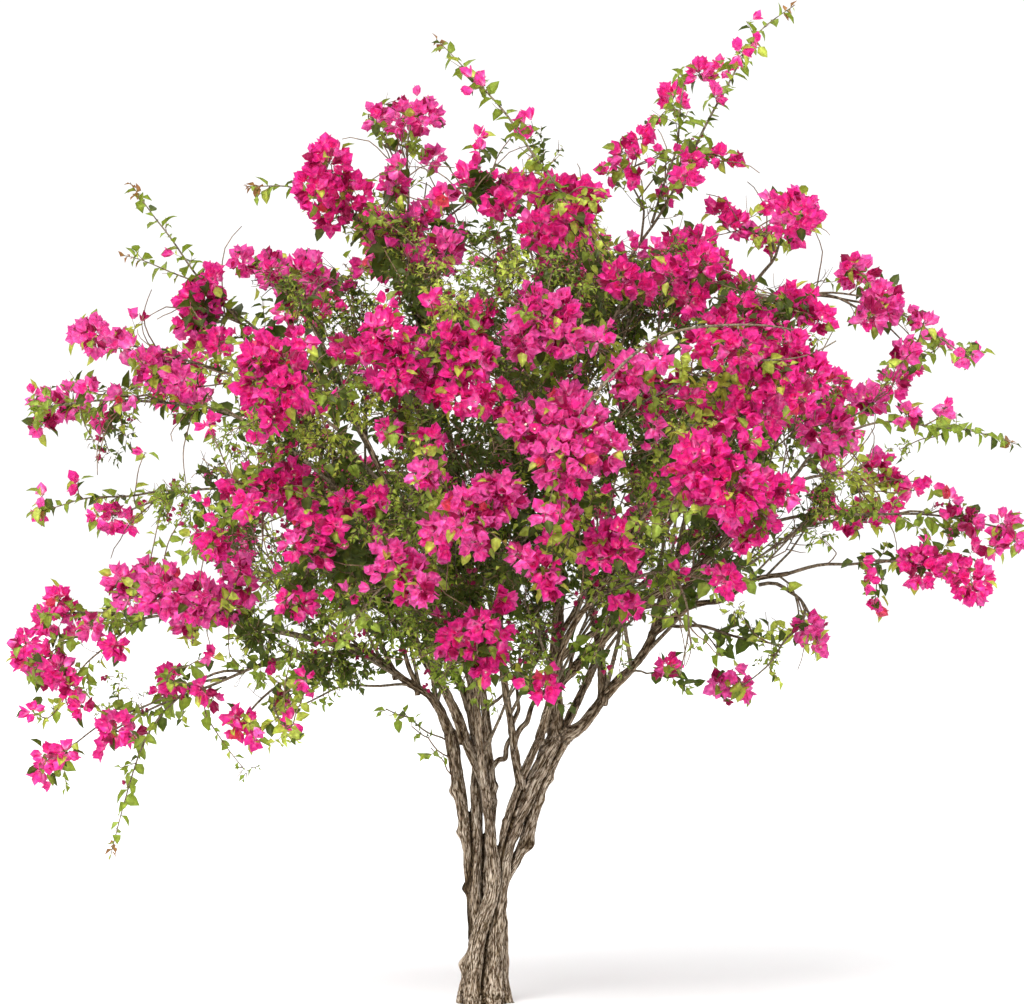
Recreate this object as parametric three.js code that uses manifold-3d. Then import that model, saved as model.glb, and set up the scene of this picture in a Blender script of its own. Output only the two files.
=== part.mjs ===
// A flowering bougainvillea grown as a small tree on a trunk of twined stems, in millimetres.
// +Z is up, +X is to the right and -Y is towards the viewer. The origin is on the ground under the trunk.
import * as THREE from "three";
import { mergeVertices } from "three/addons/utils/BufferGeometryUtils.js";
import Module from "manifold-3d";

const wasm = await Module();
wasm.setup();

const vec = (x, y, z) => new THREE.Vector3(x, y, z);
const { lerp, clamp } = THREE.MathUtils;

// Driving dimensions
const seatGap = 0.3; // between a limb and what carries it
const clearance = 3; // between foliage and anything that doesn't carry it
const forkHeight = 345; // where the trunk parts into its left and right stems
const stemTop = 800; // where those stems part into boughs
const crown = { middle: vec(60, 0, 1700), half: vec(1500, 1250, 1150), rim: 0.17 };
const bough = { sway: 14, taper: 0.8 };
const stem = { foot: 8, tip: 5, lift: 0.08 };
const twig = { foot: 5.5, tip: 3.5, lift: 0.1, from: 0.62, apart: 0.1 };
const head = {
  hollow: 0.74, // a head's radius between its points, beside its radius at them
  full: 112, // a head over this radius has twenty points, and a smaller one has eight
};
const leaf = {
  longest: 235,
  shortest: 100,
  besideHead: 1.7, // a leaf's length beside the radius of the head whose twig it is on
  width: 0.6, // the rest are shares of its length, but for its thickness and root
  widest: 0.42,
  droop: 0.1,
  vary: 0.15,
  thickness: 12,
  root: 1.5,
  opening: 1.05, // the angle between a leaf and its twig, in radians
  pitch: 101,
  canePitch: 120,
  startBesideHead: 0.18, // the fraction along a twig where its leaves start
  startOnLeafyTwig: 0.25,
  startOnCane: 0.1,
};
const space = { head: 1.2, twig: 60, leafyTwig: 95, reach: 3.5 }; // see where the sprays' spaces are set out
const path = { follow: 0.3, lead: 0.2, tries: 40, stray: 0.05, left: 0.35, look: 60, sample: 15 };
const steps = { trunk: 6, bough: 210, twig: 180 }; // the trunk's number of steps, and the others' length
const sides = { trunk: 8, bough: 6, twig: 3 };
const fullTurn = 2 * Math.PI;
const goldenAngle = Math.PI * (3 - Math.sqrt(5));

// The twined stems. Each has its middle's x and y and its radius at these heights.
const strandHeights = [0, 60, 200, forkHeight, 480, 640, stemTop];
const strands = {
  left_main: {
    side: "left",
    x: [-48, -46, -30, -39, -33, -29, -30],
    y: [6, 6, 4, 4, 8, 5, 5],
    radius: [40, 32, 27, 27, 25, 17, 15],
  },
  left_front: {
    side: "left",
    x: [-36, -38, -22, 20, 16, -4, -66],
    y: [-24, -26, -38, -42, -32, -24, -18],
    radius: [36, 28, 25, 23, 19, 16, 16],
  },
  left_outer: {
    side: "left",
    x: [-40, -40, -36, -44, -54, -80, -104],
    y: [8, 8, 6, 2, 0, 2, 0],
    radius: [34, 28, 22, 21, 19, 20, 22],
  },
  left_back: {
    side: "left",
    x: [-6, -6, -10, -8, 6, 18, 3],
    y: [30, 28, 28, 26, 20, 12, 12],
    radius: [38, 30, 26, 24, 20, 14, 12],
  },
  right_main: {
    side: "right",
    x: [20, 18, 25, 38, 66, 132, 212],
    y: [-12, -12, -14, 0, -6, -5, 0],
    radius: [42, 34, 31, 28, 26, 31, 31],
  },
  right_inner: {
    side: "right",
    x: [20, 20, 24, 34, 48, 93, 162],
    y: [10, 10, 8, 0, -20, -26, -20],
    radius: [30, 26, 22, 20, 15, 14, 13],
  },
  right_outer: {
    side: "right",
    x: [52, 44, 43, 46, 116, 160, 238],
    y: [18, 18, 20, 20, 16, 10, 8],
    radius: [34, 27, 23, 21, 22, 24, 22],
  },
};

// The main boughs: name, parent, how far along it the foot is, bend, tip, and the radii at foot and tip.
const boughs = [
  ["left_low", "left_outer", 1, [-222, -60, 1060], [-520, -90, 1090], [15, 9]],
  ["left_middle", "left_front", 1, [-200, -120, 1120], [-440, -260, 1540], [16, 8]],
  ["left_high", "left_main", 1, [-110, 70, 1150], [-430, 60, 1830], [15, 8]],
  ["top_left", "left_back", 1, [-40, -60, 1450], [-220, -60, 2150], [13, 8]],
  ["front_left", "left_front", 0.78, [-30, -260, 1050], [-130, -560, 1420], [13, 8]],
  ["back_left", "left_back", 0.8, [-60, 330, 1150], [-420, 620, 1660], [14, 8]],
  ["top_right", "right_main", 1, [170, 0, 1400], [340, 60, 2080], [25, 9]],
  ["centre", "right_inner", 0.86, [-25, -90, 1150], [170, -470, 1620], [13, 8]],
  ["front_right", "right_inner", 1, [210, -270, 1080], [440, -580, 1440], [13, 8]],
  ["right_high", "top_right", 0.12, [390, -60, 1130], [860, -150, 1520], [17, 9]],
  ["right_middle", "right_outer", 1, [430, 40, 900], [620, 70, 1420], [20, 9]],
  ["right_low", "right_middle", 0.55, [660, -60, 1235], [900, -110, 1290], [11, 7]],
  ["upper_right", "top_right", 0.55, [400, 70, 1850], [760, 40, 2090], [14, 8]],
  ["back_right", "right_outer", 0.86, [330, 330, 1100], [720, 620, 1660], [16, 8]],
  ["back", "right_middle", 0.22, [320, 320, 1400], [130, 600, 1960], [14, 8]],
];

// The sprays: name, bough, how far along the bough the foot is, side, heads, leafy twigs and long canes.
// A head is [x, z, radius] of a ball of flowers. A leafy twig or a cane is [x, z, from, lift]: where its tip
// is, how far along the spray's stem it starts, and how high it arches beside its length. Their depth is side
// times the half depth of the crown's dome at that place, so that -1 is nearest the viewer.
const sprayRows = [
  ["top_left", "top_left", 1, -0.15, [[-220, 2645, 85], [-262, 2440, 75], [-335, 2625, 50]]],
  ["upper_left", "top_left", 0.8, -0.4, [[-465, 2435, 135]], [], [[-705, 2430, 0.7, 0.1]]],
  ["left_shoulder", "left_high", 1, 0.3, [[-610, 2185, 140], [-400, 2200, 60]]],
  [
    "left_high",
    "left_high",
    0.86,
    -0.1,
    [[-845, 2080, 130]],
    [],
    [[-1066, 2460, 0.8, 0.15], [-1085, 2240, 0.65, 0.15]],
  ],
  ["left_outer", "left_high", 0.7, -0.35, [[-1135, 1980, 110], [-960, 1870, 95]]],
  ["left_tip", "left_middle", 1, -0.25, [[-1290, 1785, 115], [-1120, 1820, 60]]],
  ["left_front", "left_middle", 0.88, -0.85, [[-645, 1855, 140]], [[-420, 1800, 0.5, 0.1]]],
  ["left_middle", "left_middle", 0.74, 0.3, [[-1095, 1475, 80]], [], [[-1365, 1470, 0.7, 0.1]]],
  ["left_inner", "left_middle", 0.6, -0.7, [[-680, 1545, 125], [-840, 1385, 100]]],
  [
    "left_low_front",
    "left_middle",
    0.45,
    -0.85,
    [[-530, 1350, 115]],
    [[-330, 1200, 0.4, 0.05], [-560, 1180, 0.6, 0.05]],
  ],
  ["left_low", "left_low", 0.86, -0.6, [[-980, 1235, 125], [-770, 1195, 100]], [[-850, 1090, 0.6, 0.05]]],
  ["far_left", "left_low", 1, -0.2, [[-1300, 1165, 105], [-1340, 1010, 105], [-1275, 890, 75]]],
  [
    "low_left",
    "left_low",
    0.74,
    -0.45,
    [[-1105, 825, 75], [-940, 970, 70], [-1285, 735, 75]],
    [],
    [[-1120, 440, 0.45, 0.3]],
  ],
  ["low_left_inner", "left_low", 0.6, -0.7, [[-735, 835, 70], [-575, 845, 50]]],
  [
    "front_upper_left",
    "front_left",
    1,
    -0.85,
    [[-275, 1960, 150], [-85, 1920, 110]],
    [[-290, 1700, 0.5, 0.1]],
  ],
  ["top", "top_left", 0.9, 0.35, [[-40, 2440, 115]], [[30, 2240, 0.3, 0.1]]],
  ["top_centre", "top_right", 1, -0.5, [[225, 2385, 150]], [], [[-147, 2880, 0.97, 0.15]]],
  ["front_high", "centre", 1, -0.9, [[165, 2020, 135], [430, 1880, 85]]],
  ["front", "centre", 0.86, -0.95, [[235, 1685, 180]]],
  ["front_left", "front_left", 0.85, -0.95, [[-55, 1465, 140]], [[-170, 1640, 0.6, 0.1]]],
  ["front_low_left", "front_left", 0.7, -0.9, [[-240, 1285, 105]], [[-400, 1130, 0.5, 0.05]]],
  ["front_low", "front_left", 0.5, -0.85, [[-25, 1065, 110], [175, 950, 50]]],
  ["front_low_right", "centre", 0.6, -0.9, [[370, 1365, 75], [180, 1285, 75]]],
  ["upper_right", "top_right", 0.85, 0.35, [[410, 2150, 115], [620, 2255, 115]], [[540, 2020, 0.4, 0.1]]],
  [
    "high_right",
    "top_right",
    0.93,
    -0.2,
    [[620, 2520, 85], [590, 2745, 75], [385, 2500, 60]],
    [],
    [[925, 2990, 0.9, 0.28]],
  ],
  ["top_right", "upper_right", 1, -0.2, [[895, 2345, 110], [715, 2300, 85]]],
  ["right_shoulder", "upper_right", 0.85, -0.15, [[1150, 2110, 110], [1270, 1950, 75], [1420, 1945, 60]]],
  ["right_front_high", "upper_right", 0.6, -0.75, [[875, 2050, 150]]],
  ["right_front", "right_high", 0.85, -0.85, [[550, 1870, 115], [785, 1890, 125]], [[570, 1700, 0.4, 0.1]]],
  ["right_inner", "right_high", 1, -0.5, [[1025, 1705, 95], [1165, 1825, 85]], [], [[1580, 1675, 0.75, 0.1]]],
  ["right_front_low", "front_right", 1, -0.95, [[685, 1570, 150], [790, 1455, 110]], [[500, 1440, 0.4, 0.1]]],
  ["right", "right_high", 0.9, 0.35, [[1190, 1575, 90], [1165, 1440, 80]]],
  ["far_right", "right_high", 0.8, -0.1, [[1550, 1425, 60], [1420, 1465, 60]]],
  ["right_low", "right_low", 1, -0.3, [[1317, 1308, 85], [1440, 1270, 95]]],
  ["low_right", "right_low", 0.8, -0.5, [[970, 1095, 65], [750, 965, 70]]],
  ["low_right_inner", "front_right", 0.6, -0.75, [[708, 1263, 65], [558, 1008, 50]]],
  ["back_right", "back_right", 1, 0.8, [[1090, 1790, 130], [850, 2020, 130], [760, 1560, 140]]],
  ["back_right_inner", "back_right", 0.7, 0.5, [[520, 1850, 140], [400, 1450, 130]]],
  ["back_top_right", "back", 1, 0.7, [[260, 2290, 150], [600, 2240, 130]]],
  ["back_top_left", "back", 0.8, 0.6, [[-80, 2000, 150], [170, 1700, 140], [-290, 2330, 130]]],
  ["back_left", "back_left", 1, 0.8, [[-680, 1870, 145], [-960, 1860, 120], [-560, 2150, 120]]],
  ["back_left_inner", "back_left", 0.7, 0.55, [[-430, 1500, 150], [-810, 1380, 120]]],
];

// A repeatable number from 0 to 1 for each set of whole-number keys.
function chance(...keys) {
  let hash = 20260;
  for (const key of keys) {
    hash = Math.imul(hash ^ (key + 1), 2654435761);
    hash ^= hash >>> 15;
  }
  hash = Math.imul(hash ^ (hash >>> 13), 1274126177);
  return ((hash ^ (hash >>> 16)) >>> 0) / 4294967296;
}

// A limb's centreline: a bend from foot to tip, with a slight sway on the way.
class LimbCurve extends THREE.Curve {
  constructor(foot, bend, tip, sway = 0, phase = 0) {
    super();
    Object.assign(this, { foot, bend, tip, sway, phase });
  }
  getPoint(t, target = vec(0, 0, 0)) {
    const swing = this.sway * Math.sin(Math.PI * t);
    return target
      .set(Math.sin(this.phase + 7 * t), Math.cos(this.phase + 9 * t), Math.sin(this.phase + 11 * t))
      .multiplyScalar(swing)
      .addScaledVector(this.foot, (1 - t) ** 2)
      .addScaledVector(this.bend, 2 * t * (1 - t))
      .addScaledVector(this.tip, t * t);
  }
}

// A solid limb follows its curve in straight steps, so what grows from it starts on a step.
const stepsOf = (curve, length) => Math.max(2, Math.round(curve.getLength() / length));
function pointOnSteps(curve, count, t) {
  const step = Math.min(Math.floor(t * count), count - 1);
  const next = curve.getPointAt((step + 1) / count);
  return curve.getPointAt(step / count).lerp(next, t * count - step);
}

const taper = ({ foot, tip }) => (t) => lerp(foot, tip, t);

// A unit direction that opens from a given one by an angle, on the side that the turn says.
function besides(along, opening, turn) {
  const side = vec(0, 0, 1).cross(along);
  if (side.lengthSq() < 0.01) side.set(1, 0, 0);
  side.normalize();
  const other = along.clone().cross(side);
  return along
    .clone()
    .multiplyScalar(Math.cos(opening))
    .addScaledVector(side, Math.sin(opening) * Math.cos(turn))
    .addScaledVector(other, Math.sin(opening) * Math.sin(turn))
    .normalize();
}

// A closed geometry as a solid, and a solid as a mesh
function solidOf(geometry) {
  const bare = geometry.clone();
  bare.deleteAttribute("normal");
  bare.deleteAttribute("uv");
  const merged = mergeVertices(bare, 1e-4);
  return new wasm.Manifold(
    new wasm.Mesh({
      numProp: 3,
      vertProperties: merged.attributes.position.array,
      triVerts: new Uint32Array(merged.index.array),
    }),
  );
}

function meshOf(name, solid, material) {
  const made = solid.getMesh();
  const geometry = new THREE.BufferGeometry();
  geometry.setAttribute("position", new THREE.BufferAttribute(made.vertProperties, 3));
  geometry.setIndex(new THREE.BufferAttribute(made.triVerts, 1));
  geometry.computeVertexNormals();
  const mesh = new THREE.Mesh(geometry, material);
  mesh.name = name;
  return mesh;
}

const largestOf = (solid) => solid.decompose().sort((a, b) => b.volume() - a.volume())[0];

// A solid without what the solids that stand there already fill, as the one piece that is left.
function cutClear(solid, standing) {
  let left = solid;
  for (const other of standing) {
    if (left.intersect(other).volume() > 0) left = largestOf(left.subtract(other));
  }
  return left;
}

// A cylinder bent along a curve, with its radius given by a function of the fraction along it. It can run on
// past both ends by a small reach.
function limbSolid(curve, radiusAt, sideCount, stepCount, reach = 0) {
  const geometry = new THREE.CylinderGeometry(1, 1, 1, sideCount, stepCount);
  const frames = curve.computeFrenetFrames(stepCount, false);
  const positions = geometry.attributes.position;
  for (let i = 0; i < positions.count; i++) {
    const ring = Math.round((positions.getY(i) + 0.5) * stepCount);
    const radius = radiusAt(ring / stepCount);
    const beyond = ring === 0 ? -reach : ring === stepCount ? reach : 0;
    const place = curve
      .getPointAt(ring / stepCount)
      .addScaledVector(frames.tangents[ring], beyond)
      .addScaledVector(frames.normals[ring], positions.getX(i) * radius)
      .addScaledVector(frames.binormals[ring], -positions.getZ(i) * radius);
    positions.setXYZ(i, place.x, place.y, place.z);
  }
  return solidOf(geometry);
}

const bark = new THREE.MeshStandardMaterial({ color: 0x8a7862, roughness: 0.9, metalness: 0 });
const bloom = new THREE.MeshStandardMaterial({ color: 0xe0207c, roughness: 0.6, metalness: 0 });

const tree = new THREE.Group();
tree.name = "bougainvillea";
const grown = []; // each limb a little swollen, to cut what it carries clear of it
const limbs = {}; // where each strand and bough runs, for what grows from it

// What a growing twig keeps clear of: every limb and twig as a chain of points with radii.
const chains = [];
function noteChain(owner, curve, radiusAt, links = 12) {
  const chain = { owner, points: curve.getSpacedPoints(links), radii: [] };
  for (let i = 0; i <= links; i++) {
    chain.radii.push(radiusAt(i / links));
  }
  chain.box = new THREE.Box3().setFromPoints(chain.points);
  chains.push(chain);
}

// Trunk and main stems

function strandCurve({ x, y, radius }) {
  const middles = strandHeights.map((z, i) => vec(x[i], y[i], z));
  const last = strandHeights.length - 1;
  return {
    curve: new THREE.CatmullRomCurve3(middles, false, "catmullrom", 0.5),
    radiusAt: (t) => {
      const i = Math.min(Math.floor(t * last), last - 1);
      return lerp(radius[i], radius[i + 1], t * last - i);
    },
  };
}

// The fraction along a strand where it reaches a height.
function fractionAtHeight(curve, z) {
  let [under, over] = [0, 1];
  for (let i = 0; i < 30; i++) {
    const t = (under + over) / 2;
    if (curve.getPoint(t).z < z) under = t;
    else over = t;
  }
  return under;
}

// A strand between two heights, in level rings, so that the cuts at the ground and the fork are flat.
function strandSolid({ curve, radiusAt }, low, high, swell) {
  const geometry = new THREE.CylinderGeometry(1, 1, 1, sides.trunk, steps.trunk);
  const positions = geometry.attributes.position;
  for (let i = 0; i < positions.count; i++) {
    const z = lerp(low, high, positions.getY(i) + 0.5);
    const t = fractionAtHeight(curve, z);
    const middle = curve.getPoint(t);
    const radius = radiusAt(t) + swell;
    positions.setXYZ(i, middle.x + positions.getX(i) * radius, middle.y - positions.getZ(i) * radius, z);
  }
  return solidOf(geometry);
}

function fusedStrands(chosen, low, high, swell) {
  return wasm.Manifold.union(chosen.map((strand) => strandSolid(strandCurve(strand), low, high, swell)));
}

tree.add(meshOf("trunk", fusedStrands(Object.values(strands), 0, forkHeight, 0), bark));
grown.push(fusedStrands(Object.values(strands), 0, forkHeight + seatGap, seatGap));
for (const side of ["left", "right"]) {
  const chosen = Object.values(strands).filter((strand) => strand.side === side);
  const stem = fusedStrands(chosen, forkHeight + seatGap, stemTop, 0);
  tree.add(meshOf(`${side}_stem`, cutClear(stem, grown), bark));
  grown.push(fusedStrands(chosen, forkHeight, stemTop + seatGap, seatGap));
}
for (const [name, strand] of Object.entries(strands)) {
  const { curve, radiusAt } = strandCurve(strand);
  const node = `${strand.side}_stem`;
  limbs[name] = { node, curve, footAt: (t) => curve.getPoint(t) };
  noteChain(node, curve, radiusAt, 24);
}

// Boughs

boughs.forEach(([name, parent, at, bend, tip, [foot, end]], index) => {
  const node = `${name}_bough`;
  const curve = new LimbCurve(limbs[parent].footAt(at), vec(...bend), vec(...tip), bough.sway, index);
  const radiusAt = (t) => lerp(foot, end, t ** bough.taper);
  const swollen = (t) => radiusAt(t) + seatGap * 1.1;
  const count = stepsOf(curve, steps.bough);
  tree.add(meshOf(node, cutClear(limbSolid(curve, radiusAt, sides.bough, count), grown), bark));
  grown.push(limbSolid(curve, swollen, sides.bough, count, seatGap));
  limbs[name] = { node, curve, footAt: (t) => pointOnSteps(curve, count, t) };
  noteChain(node, curve, radiusAt);
});

// Sprays

// A place on the front or back of the crown's dome, or within it.
function placeInCrown(x, z, side) {
  const across = (x - crown.middle.x) / crown.half.x;
  const upward = (z - crown.middle.z) / crown.half.z;
  const depth = Math.sqrt(Math.max(1 - across ** 2 - upward ** 2, crown.rim ** 2));
  return vec(x, side * crown.half.y * depth, z);
}

const sprays = sprayRows.map(([name, carrier, at, side, heads, leafyTwigs = [], canes = []], index) => {
  const { node, curve, footAt } = limbs[carrier];
  const twigRow = ([x, z, from, lift]) => ({ tip: placeInCrown(x, z, side), from, lift });
  return {
    index,
    node: `${name}_spray`,
    carrier: node,
    foot: footAt(at),
    heading: curve.getTangentAt(at),
    heads: heads.map(([x, z, radius]) => ({ middle: placeInCrown(x, z, side), radius, fitted: radius })),
    leafyTwigs: leafyTwigs.map(twigRow),
    canes: canes.map(twigRow),
  };
});

function distanceToChain(point, { points, radii }) {
  const nearest = vec(0, 0, 0);
  let least = Infinity;
  for (let i = 1; i < points.length; i++) {
    new THREE.Line3(points[i - 1], points[i]).closestPointToPoint(point, true, nearest);
    least = Math.min(least, nearest.distanceTo(point) - radii[i - 1]);
  }
  return least;
}

// Two sprays' heads share the room between them, and a head keeps off the limbs.
for (const spray of sprays) {
  const others = sprays.filter((other) => other !== spray).flatMap((other) => other.heads);
  for (const ball of spray.heads) {
    for (const { middle, radius } of others) {
      const share = ball.radius / (ball.radius + radius);
      ball.fitted = Math.min(ball.fitted, ball.middle.distanceTo(middle) * share - clearance);
    }
    for (const chain of chains) {
      ball.fitted = Math.min(ball.fitted, distanceToChain(ball.middle, chain) - clearance);
    }
  }
}

// How much room there is round a curve. The limb that carries it counts only once the curve has left it, past
// a third of its length.
function roomRound(curve, spray, radius) {
  const count = Math.ceil(curve.getLength() / path.sample);
  let least = Infinity;
  for (let i = 1; i <= count; i++) {
    const point = curve.getPointAt(i / count);
    const near = chains.filter(
      ({ owner, box }) =>
        owner !== spray.node &&
        (owner !== spray.carrier || i > path.left * count) &&
        box.distanceToPoint(point) < path.look,
    );
    for (const chain of near) {
      least = Math.min(least, distanceToChain(point, chain) - radius - clearance);
    }
    for (const { heads } of sprays.filter((other) => other !== spray)) {
      for (const { middle, fitted } of heads) {
        least = Math.min(least, point.distanceTo(middle) - fitted - radius - clearance);
      }
    }
  }
  return least;
}

// A twig that leaves its start by way of a heading and ends at a tip. Of several bends, each further from the
// straight line, it takes the first with room round it, or else the one with the most.
function growTwig(spray, start, heading, tip, lift, radius) {
  const span = start.distanceTo(tip);
  const along = tip.clone().sub(start).normalize();
  let best = { room: -Infinity };
  for (let i = 0; i < path.tries && best.room <= 0; i++) {
    const bend = start
      .clone()
      .addScaledVector(heading, path.follow * span)
      .addScaledVector(along, path.lead * span)
      .addScaledVector(besides(along, Math.PI / 2, i * goldenAngle), path.stray * span * Math.sqrt(i))
      .add(vec(0, 0, lift * span));
    const curve = new LimbCurve(start, bend, tip);
    const room = roomRound(curve, spray, radius.foot);
    if (room > best.room) best = { curve, room };
  }
  noteChain(spray.node, best.curve, taper(radius));
  return best.curve;
}

// Each spray's stem runs from its bough into its first head. Twigs branch from it to its other heads, and to
// the tips of its leafy twigs and canes.
for (const spray of sprays) {
  const { foot, heading, heads, leafyTwigs, canes } = spray;
  const main = growTwig(spray, foot, heading, heads[0].middle, stem.lift, stem);
  const count = stepsOf(main, steps.twig);
  const branch = ({ tip, from, lift }) => ({
    curve: growTwig(spray, pointOnSteps(main, count, from), main.getTangentAt(from), tip, lift, twig),
    radius: twig,
  });
  spray.twigs = [{ curve: main, radius: stem, ball: heads[0] }];
  heads.slice(1).forEach((ball, i) => {
    const from = twig.from - twig.apart * i;
    spray.twigs.push({ ...branch({ tip: ball.middle, from, lift: twig.lift }), ball });
  });
  leafyTwigs.forEach((row) => spray.twigs.push({ ...branch(row), leafy: true }));
  canes.forEach((row) => spray.twigs.push(branch(row)));
}

// A spray's space is what lies nearer to its own balls than to any other spray's, each measured in its own
// radius. The balls are its heads and those along its twigs.
for (const spray of sprays) {
  spray.balls = spray.heads.map(({ middle, radius }) => ({ middle, radius: radius * space.head }));
  for (const { curve, ball } of spray.twigs) {
    const radius = ball ? space.twig : space.leafyTwig;
    curve.getPoints(8).slice(3).forEach((middle) => spray.balls.push({ middle, radius }));
  }
}
const nearness = (spray, point) =>
  Math.min(...spray.balls.map(({ middle, radius }) => point.distanceTo(middle) / radius));
const inOwnSpace = (spray, point) => {
  const own = nearness(spray, point);
  return own < space.reach && sprays.every((other) => other === spray || nearness(other, point) > own);
};

// A head of flowers: a ball whose every face is drawn out to a point, as three bracts round a flower are.
function headSolid({ middle, fitted, radius }, turn) {
  const ball = radius > head.full ? new THREE.IcosahedronGeometry(1, 0) : new THREE.OctahedronGeometry(1, 0);
  const { position } = ball.attributes;
  const axis = vec(0, 1, 0);
  const placed = (corner, reach) =>
    corner
      .clone()
      .multiplyScalar(reach * fitted)
      .applyAxisAngle(axis, turn)
      .add(middle);
  const corners = [];
  for (let i = 0; i < position.count; i += 3) {
    const face = [0, 1, 2].map((k) => vec(0, 0, 0).fromBufferAttribute(position, i + k));
    const point = face[0].clone().add(face[1]).add(face[2]).normalize();
    face.forEach((corner, k) => {
      corners.push(placed(corner, head.hollow), placed(face[(k + 1) % 3], head.hollow), placed(point, 1));
    });
  }
  return solidOf(new THREE.BufferGeometry().setFromPoints(corners));
}

// A leaf of eight faces: an octahedron drawn out to a blade that rises to its edges and droops to its tip.
function leafSolid(base, along, roll, length) {
  const geometry = new THREE.OctahedronGeometry(1, 0);
  const positions = geometry.attributes.position;
  const side = besides(along, Math.PI / 2, roll);
  const normal = along.clone().cross(side);
  for (let i = 0; i < positions.count; i++) {
    const [x, y, z] = [positions.getX(i), positions.getY(i), positions.getZ(i)];
    const atEnd = Math.abs(x) > 0.5;
    const down = atEnd ? (x + 1) / 2 : leaf.widest;
    const lift = (z * 0.5 + Math.abs(y)) * leaf.thickness - (x > 0.5 ? leaf.droop * length : 0);
    const place = base
      .clone()
      .addScaledVector(along, down * length - leaf.root)
      .addScaledVector(side, y * 0.5 * leaf.width * length)
      .addScaledVector(normal, lift);
    positions.setXYZ(i, place.x, place.y, place.z);
  }
  return solidOf(geometry);
}

// Everything that stands so far, and whether a new piece would touch any of it but its own twig.
const standing = [];
const boxOf = (solid) => {
  const { min, max } = solid.boundingBox();
  return new THREE.Box3(vec(...min), vec(...max));
};
const stand = (solid) => standing.push({ solid, box: boxOf(solid) });
function touches(solid, carrier) {
  const box = boxOf(solid).expandByScalar(clearance);
  const near = standing.filter((other) => other.solid !== carrier && other.box.intersectsBox(box));
  return near.some((other) => solid.minGap(other.solid, clearance) < clearance);
}

tree.children.forEach((mesh) => stand(solidOf(mesh.geometry)));
for (const spray of sprays) {
  for (const limb of spray.twigs) {
    limb.solid = limbSolid(limb.curve, taper(limb.radius), sides.twig, stepsOf(limb.curve, steps.twig));
  }
  spray.pieces = spray.twigs.map(({ solid }) => solid);
  spray.heads.forEach((ball, i) => spray.pieces.push(headSolid(ball, fullTurn * chance(spray.index, i))));
  spray.pieces.forEach(stand);
}

// Leaves stand on the middles of a twig's three faces in turn. One that would leave the spray's space or
// touch anything else is left out.
function addLeaves(spray, limb, count, from, to, size) {
  const { curve, solid: carrier } = limb;
  const key = spray.twigs.indexOf(limb);
  const stepCount = stepsOf(curve, steps.twig);
  const { normals, binormals } = curve.computeFrenetFrames(stepCount, false);
  for (let i = 0; i < count; i++) {
    const t = lerp(from, to, (i + 0.5) / count);
    const face = (((i % sides.twig) + 0.5) * fullTurn) / sides.twig;
    const ring = Math.round(t * stepCount);
    const along = curve
      .getTangentAt(t)
      .multiplyScalar(Math.cos(leaf.opening))
      .addScaledVector(normals[ring], Math.sin(leaf.opening) * Math.sin(face))
      .addScaledVector(binormals[ring], -Math.sin(leaf.opening) * Math.cos(face))
      .normalize();
    const base = pointOnSteps(curve, stepCount, t);
    const length = size * lerp(1 - leaf.vary, 1 + leaf.vary, chance(spray.index, key, i, 1));
    const solid = leafSolid(base, along, fullTurn * chance(spray.index, key, i, 2), length);
    const ends = [0.5, 1].map((share) => base.clone().addScaledVector(along, length * share));
    if (ends.every((end) => inOwnSpace(spray, end)) && !touches(solid, carrier)) {
      spray.pieces.push(solid);
      stand(solid);
    }
  }
}

for (const spray of sprays) {
  for (const limb of spray.twigs) {
    const length = limb.curve.getLength();
    const count = Math.round(length / leaf.pitch);
    if (limb.ball) {
      const size = clamp(limb.ball.radius * leaf.besideHead, leaf.shortest, leaf.longest);
      addLeaves(spray, limb, count, leaf.startBesideHead, 1 - limb.ball.fitted / length, size);
    } else if (limb.leafy) {
      addLeaves(spray, limb, count + 1, leaf.startOnLeafyTwig, 1, leaf.longest);
    } else {
      addLeaves(spray, limb, Math.round(length / leaf.canePitch), leaf.startOnCane, 1, leaf.shortest);
    }
  }
}

for (const { node, pieces } of sprays) {
  const whole = largestOf(wasm.Manifold.union(pieces));
  tree.add(meshOf(node, cutClear(whole, grown), bloom));
}

export default tree;
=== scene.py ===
"""A flowering bougainvillea grown as a small tree: its bark, twigs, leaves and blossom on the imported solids.

The limbs, the sprays' stems and their heads of blossom follow the rule of the solids, in millimetres. From
there the growth is carried on to finer twigs, and it is turned into meshes in metres.
"""

import math
from types import SimpleNamespace

import bpy
import numpy as np
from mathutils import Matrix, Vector, kdtree, noise


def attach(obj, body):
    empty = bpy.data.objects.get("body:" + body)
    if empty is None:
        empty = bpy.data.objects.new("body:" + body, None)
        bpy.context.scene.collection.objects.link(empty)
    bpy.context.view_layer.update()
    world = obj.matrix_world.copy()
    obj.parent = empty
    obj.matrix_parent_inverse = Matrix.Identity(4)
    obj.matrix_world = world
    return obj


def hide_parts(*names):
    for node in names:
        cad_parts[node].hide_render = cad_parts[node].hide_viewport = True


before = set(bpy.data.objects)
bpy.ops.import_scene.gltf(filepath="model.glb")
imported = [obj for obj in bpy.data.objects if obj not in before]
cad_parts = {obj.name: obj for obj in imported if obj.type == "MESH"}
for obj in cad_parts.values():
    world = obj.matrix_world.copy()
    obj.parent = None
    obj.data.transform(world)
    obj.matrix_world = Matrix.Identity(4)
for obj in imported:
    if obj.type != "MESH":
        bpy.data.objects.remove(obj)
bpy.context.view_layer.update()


def vec(*values):
    return np.array(values, float)


def unit(v):
    return v / np.linalg.norm(v, axis=-1, keepdims=True)


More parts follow.
